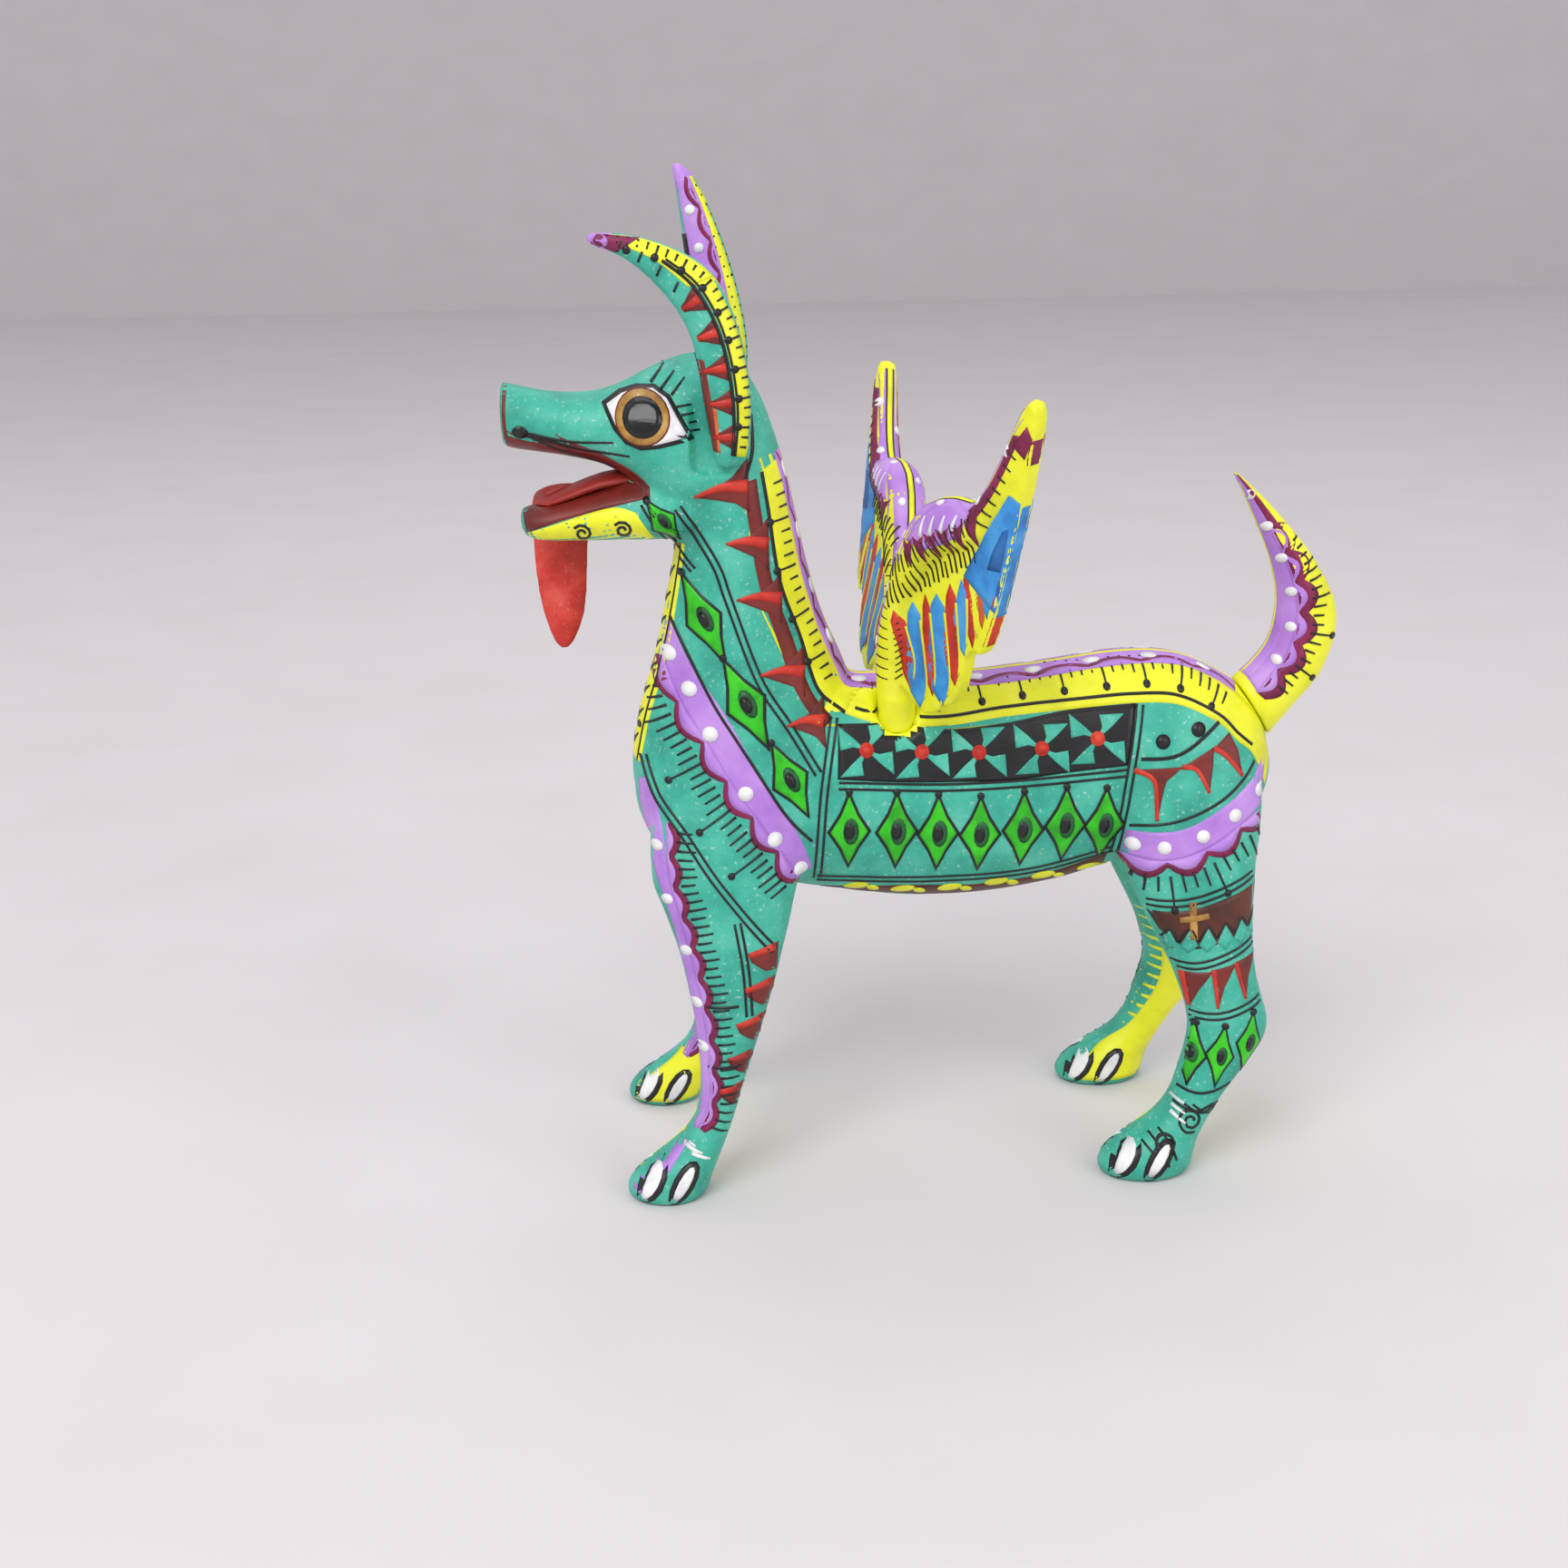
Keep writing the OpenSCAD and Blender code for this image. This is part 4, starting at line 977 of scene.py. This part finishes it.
def wing_piece(name, side, twist, lean):
    """A wing's skin and paint, laid out flat and turned with the wing; angles in degrees."""
    skin = wood_skin(f"{name}_skin", [name], 0.4, 4, 0.08)
    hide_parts(name)
    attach(skin, name)
    skin.data.materials.append(PAINTS["yellow"])
    tree = tree_of(skin)
    at = Matrix.Translation(wing_seat(side))
    for axis, degrees in (("X", -side * WING_LEAN), ("Z", -side * twist), ("Y", lean),
                          ("X", side * WING_LEAN)):
        at = at @ Matrix.Rotation(math.radians(degrees), 4, axis)

    def from_face(face):
        """Wraps (u out from the seat, v up) on one face of the blade."""
        push = (at.to_3x3() @ Vector((-face, 0, 0))).normalized()
        return lambda u, v: pressed_on(tree, at @ (Vector((face * 20, side * u, v)) * MM), push)

    for face in (-1, 1):
        flat = from_face(face)
        # hatching round the arm
        for k in range(9):
            stroke(flat, [(-1 + 0.32 * k, 7 + 1.8 * k), (1.6 + 0.32 * k, 6.4 + 1.8 * k)], 0.3, "black",
                   0.1, 0.5)
            stroke(flat, [(4.2 + 0.2 * k, 7.4 + 1.2 * k), (2.6 + 0.2 * k, 6.4 + 1.2 * k)], 0.3, "black",
                   0.1, 0.5)
        # lilac bump with white streaks and a burgundy zigzag
        patch(flat, [(10.6, 31.4), (13.6, 35), (17, 37.6), (20.5, 37.8), (23.8, 36.6), (22.6, 33.4),
                     (19, 31.6), (14.6, 30.2)], "lilac", 0.1)
        for k in range(4):
            stroke(flat, [(14.2 + 2.2 * k, 32.4 + 0.5 * k), (15 + 2.2 * k, 35.6 + 0.2 * k)], 0.8, "white",
                   0.16, 0.7)
        for k in range(6):
            u, v = 9.6 + 2.7 * k, 29 + 0.85 * k
            patch(flat, [(u, v + 2.4), (u + 1.2, v - 2.2), (u + 2.7, v + 2.9), (u + 1.3, v + 1.8)],
                  "burgundy", 0.13)
        band(flat, [(24, 34.6), (28.4, 39), (32, 44), (35, 49)],
             [(23.4, 36.9), (27.2, 40.1), (30.3, 44), (33.4, 49)], "burgundy", 0.1, 0.8)
        # feathers
        feathers = [((5.2, 19), (5.8, 5.4), 1.7, "red"), ((8.4, 20.4), (7.6, 2.4), 2.3, "blue"),
                    ((11.4, 22), (10.8, 5), 1.3, "red"), ((14, 22.4), (12.8, 3.6), 2.5, "blue"),
                    ((17.2, 24.4), (16.2, 7.6), 1.7, "red"), ((19.8, 25.4), (18.8, 13), 1.5, "blue")]
        for (u1, v1), (u2, v2), half, colour in feathers:
            patch(flat, [(u2, v2 - 0.4), (u2 + half * 0.8, v2 + 2.4), (u2 + half, v2 + 6),
                         (u1 + half * 0.6, v1 - 2), (u1, v1), (u1 - half * 0.6, v1 - 2),
                         (u2 - half, v2 + 6), (u2 - half * 0.8, v2 + 2.2)], colour, 0.1)
            stroke(flat, [(u1 + half * 0.6, v1 - 3), (u2 + half, v2 + 5), (u2 + half * 0.6, v2 + 1.6)],
                   0.5, "yellow", 0.15, 0.4)
        # the broad blue sweep and its streaks on the outer half
        for k, colour in enumerate(("red", "yellow", "orange", "blue", "red", "deep_blue")):
            u, v = 20.9 + 1.25 * k, 14.2 + 1.75 * k
            patch(flat, [(u, v), (u + 0.8, v + 2), (u + 0.9, v + 8), (u + 0.3, 26.4 + k),
                         (u - 0.6, 25.6 + k), (u - 0.8, v + 7), (u - 0.6, v + 2)], colour, 0.1)
        band(flat, [(26.2, 20.6), (27.6, 23.6), (29.1, 27.2), (30.8, 31.4), (32.3, 35.2), (33.4, 38.6)],
             [(20.4, 26), (22.4, 28.8), (24.6, 31.4), (26.8, 34), (29.2, 36.8), (31.6, 39.8)], "blue", 0.12)
        band(flat, [(28.4, 27.4), (29.8, 31), (31, 34.6)], [(25.6, 27.6), (27, 30.4), (29.6, 34)],
             "deep_blue", 0.15)
        # fine hatching along the lower edge of the yellow
        for k in range(19):
            u, v = 4.4 + 1.05 * k, 19.4 + 0.5 * k + (k % 2) * 0.4
            stroke(flat, [(u, v), (u - 0.4, v + 2.6 + (k * 5 % 4) * 0.6)], 0.28, "black", 0.18, 0.4)
            stroke(flat, [(u + 0.4, v + 7.4), (u + 0.7, v + 4.6)], 0.28, "black", 0.18, 0.5)
        for k in range(8):
            stroke(flat, [(25.6 + 1.2 * k, 35.6 + 1.8 * k), (27.2 + 1.1 * k, 34.6 + 1.8 * k)], 0.32,
                   "black", 0.18, 0.4)
        patch(flat, [(33.6, 47.6), (35.2, 45.4), (36.8, 48.4), (36.4, 50.4)], "burgundy", 0.16)

    def over_rim(path):
        """Wraps (how far along, how far across) on the edge of the blade, from outside a path."""
        line = smooth_line(path, 1.0)

        def wrap(run, width):
            k = min(int(max(run, 0)), len(line) - 2)
            spot = line[k].lerp(line[k + 1], run - k)
            out = -across(line, k)
            start = at @ (Vector((width, side * (spot.x + out.x * 9), spot.y + out.y * 9)) * MM)
            return pressed_on(tree, start, (at.to_3x3() @ Vector((0, -side * out.x, -out.y))).normalized())

        return wrap, len(line)

    # upper rim: lilac with a yellow centre line between black ones, and white dots
    rim, rim_long = over_rim([(-1.9, 5.4), (-1.7, 8), (-0.6, 13.6), (2, 20.2), (5.4, 25.6), (9.8, 31.6),
                              (13.4, 34.8), (17, 37.4), (20.5, 37.6), (24, 36.8), (27, 39.8), (30.1, 43.8),
                              (33, 48.4), (35.6, 52.4)])
    runner(rim, rim_long, (-3.6, -2.7, -1.8, -0.9, 0, 0.9, 1.8, 2.7, 3.6), "lilac", 0.06)
    runner(rim, rim_long, (-0.75, 0, 0.75), "black", 0.1)
    runner(rim, rim_long, (-0.45, 0, 0.45), "yellow", 0.14)
    for i in range(3, rim_long - 3, 5):
        dot(rim, (i, 1.7 if i % 2 else -1.7), 0.6, "white", 0.18, 1.3)
    # outer rim of the blade: blue above, red below
    for colour, path in (("blue", [(33.4, 37.8), (32.4, 35.2), (29, 26.7), (26, 19.7)]),
                         ("red", [(26, 19.7), (23.4, 14.6)]), ("burgundy", [(36.8, 48.2), (35.6, 44.4)])):
        low, low_long = over_rim(path)
        runner(low, low_long, (-1.5, -0.8, 0, 0.8, 1.5), colour, 0.07)
    finish_film(f"{name}_film", name)


wing_piece("left_wing", -1, 38, 0)
wing_piece("right_wing", 1, -13, 11)

# --- Tongue ---
# A separate tongue painted bright red with a worn, chalky surface, hanging over the far lip. Where it
# lies inside the mouth, between the two heights below in metres, its red is darkened with painted shade.
SHADE_FROM, SHADE_TO = 0.1165, 0.1195
tongue_skin = wood_skin("tongue_skin", ["tongue"], 0.3, 3, 0.06)
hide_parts("tongue")
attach(tongue_skin, "trunk")
tongue_red = painted("tongue_acrylic", "#cf2f22", "#b2241a", "#e2574a", 170.0, 0.5, 0.1)
tongue_nodes, tongue_shader = tongue_red.node_tree.nodes, tongue_red.node_tree.nodes["Principled BSDF"]
spot = add(tongue_nodes, "ShaderNodeTexCoord")
height = add(tongue_nodes, "ShaderNodeSeparateXYZ", {0: spot.outputs["Object"]})
# painted shade: the tongue's red turns darker as it rises into the mouth
deep = add(tongue_nodes, "ShaderNodeMapRange", {"Value": height.outputs[2], "From Min": SHADE_FROM,
                                                "From Max": SHADE_TO, "To Max": 0.8})
worn_red = tongue_shader.inputs["Base Color"].links[0].from_socket
shaded_red = add(tongue_nodes, "ShaderNodeMix", {0: deep.outputs[0], 6: worn_red, 7: linear("#8e2a20")},
          data_type="RGBA")
tongue_red.node_tree.links.new(shaded_red.outputs[2], tongue_shader.inputs["Base Color"])
tongue_skin.data.materials.append(tongue_red)

# --- Bare wood ---
# Dowels and pegs are turned from pale copal and left unpainted, with fine straight grain.


def copal_wood():
    made, nodes, shader = new_material("bare_copal_wood")
    where = add(nodes, "ShaderNodeTexCoord")
    grain = add(nodes, "ShaderNodeMapping", {"Vector": where.outputs["Object"]})
    grain.inputs["Scale"].default_value = (900, 900, 60)
    fibre = add(nodes, "ShaderNodeTexNoise", {"Vector": grain.outputs[0], "Scale": 1.0, "Detail": 5.0})
    tone = add(nodes, "ShaderNodeValToRGB", {0: fibre.outputs["Fac"]})
    tone.color_ramp.elements[0].position = 0.3
    tone.color_ramp.elements[0].color = linear("#b98f5c")
    tone.color_ramp.elements[1].position = 0.7
    tone.color_ramp.elements[1].color = linear("#e2c596")
    ridge = add(nodes, "ShaderNodeBump", {"Height": fibre.outputs["Fac"], "Strength": 0.2,
                                          "Distance": 0.0002})
    made.node_tree.links.new(tone.outputs[0], shader.inputs["Base Color"])
    made.node_tree.links.new(ridge.outputs[0], shader.inputs["Normal"])
    shader.inputs["Roughness"].default_value = 0.62
    return made


copal = copal_wood()
for name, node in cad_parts.items():
    if name.endswith("_peg") or name.endswith("_dowel"):
        node.data.materials.clear()
        node.data.materials.append(copal)
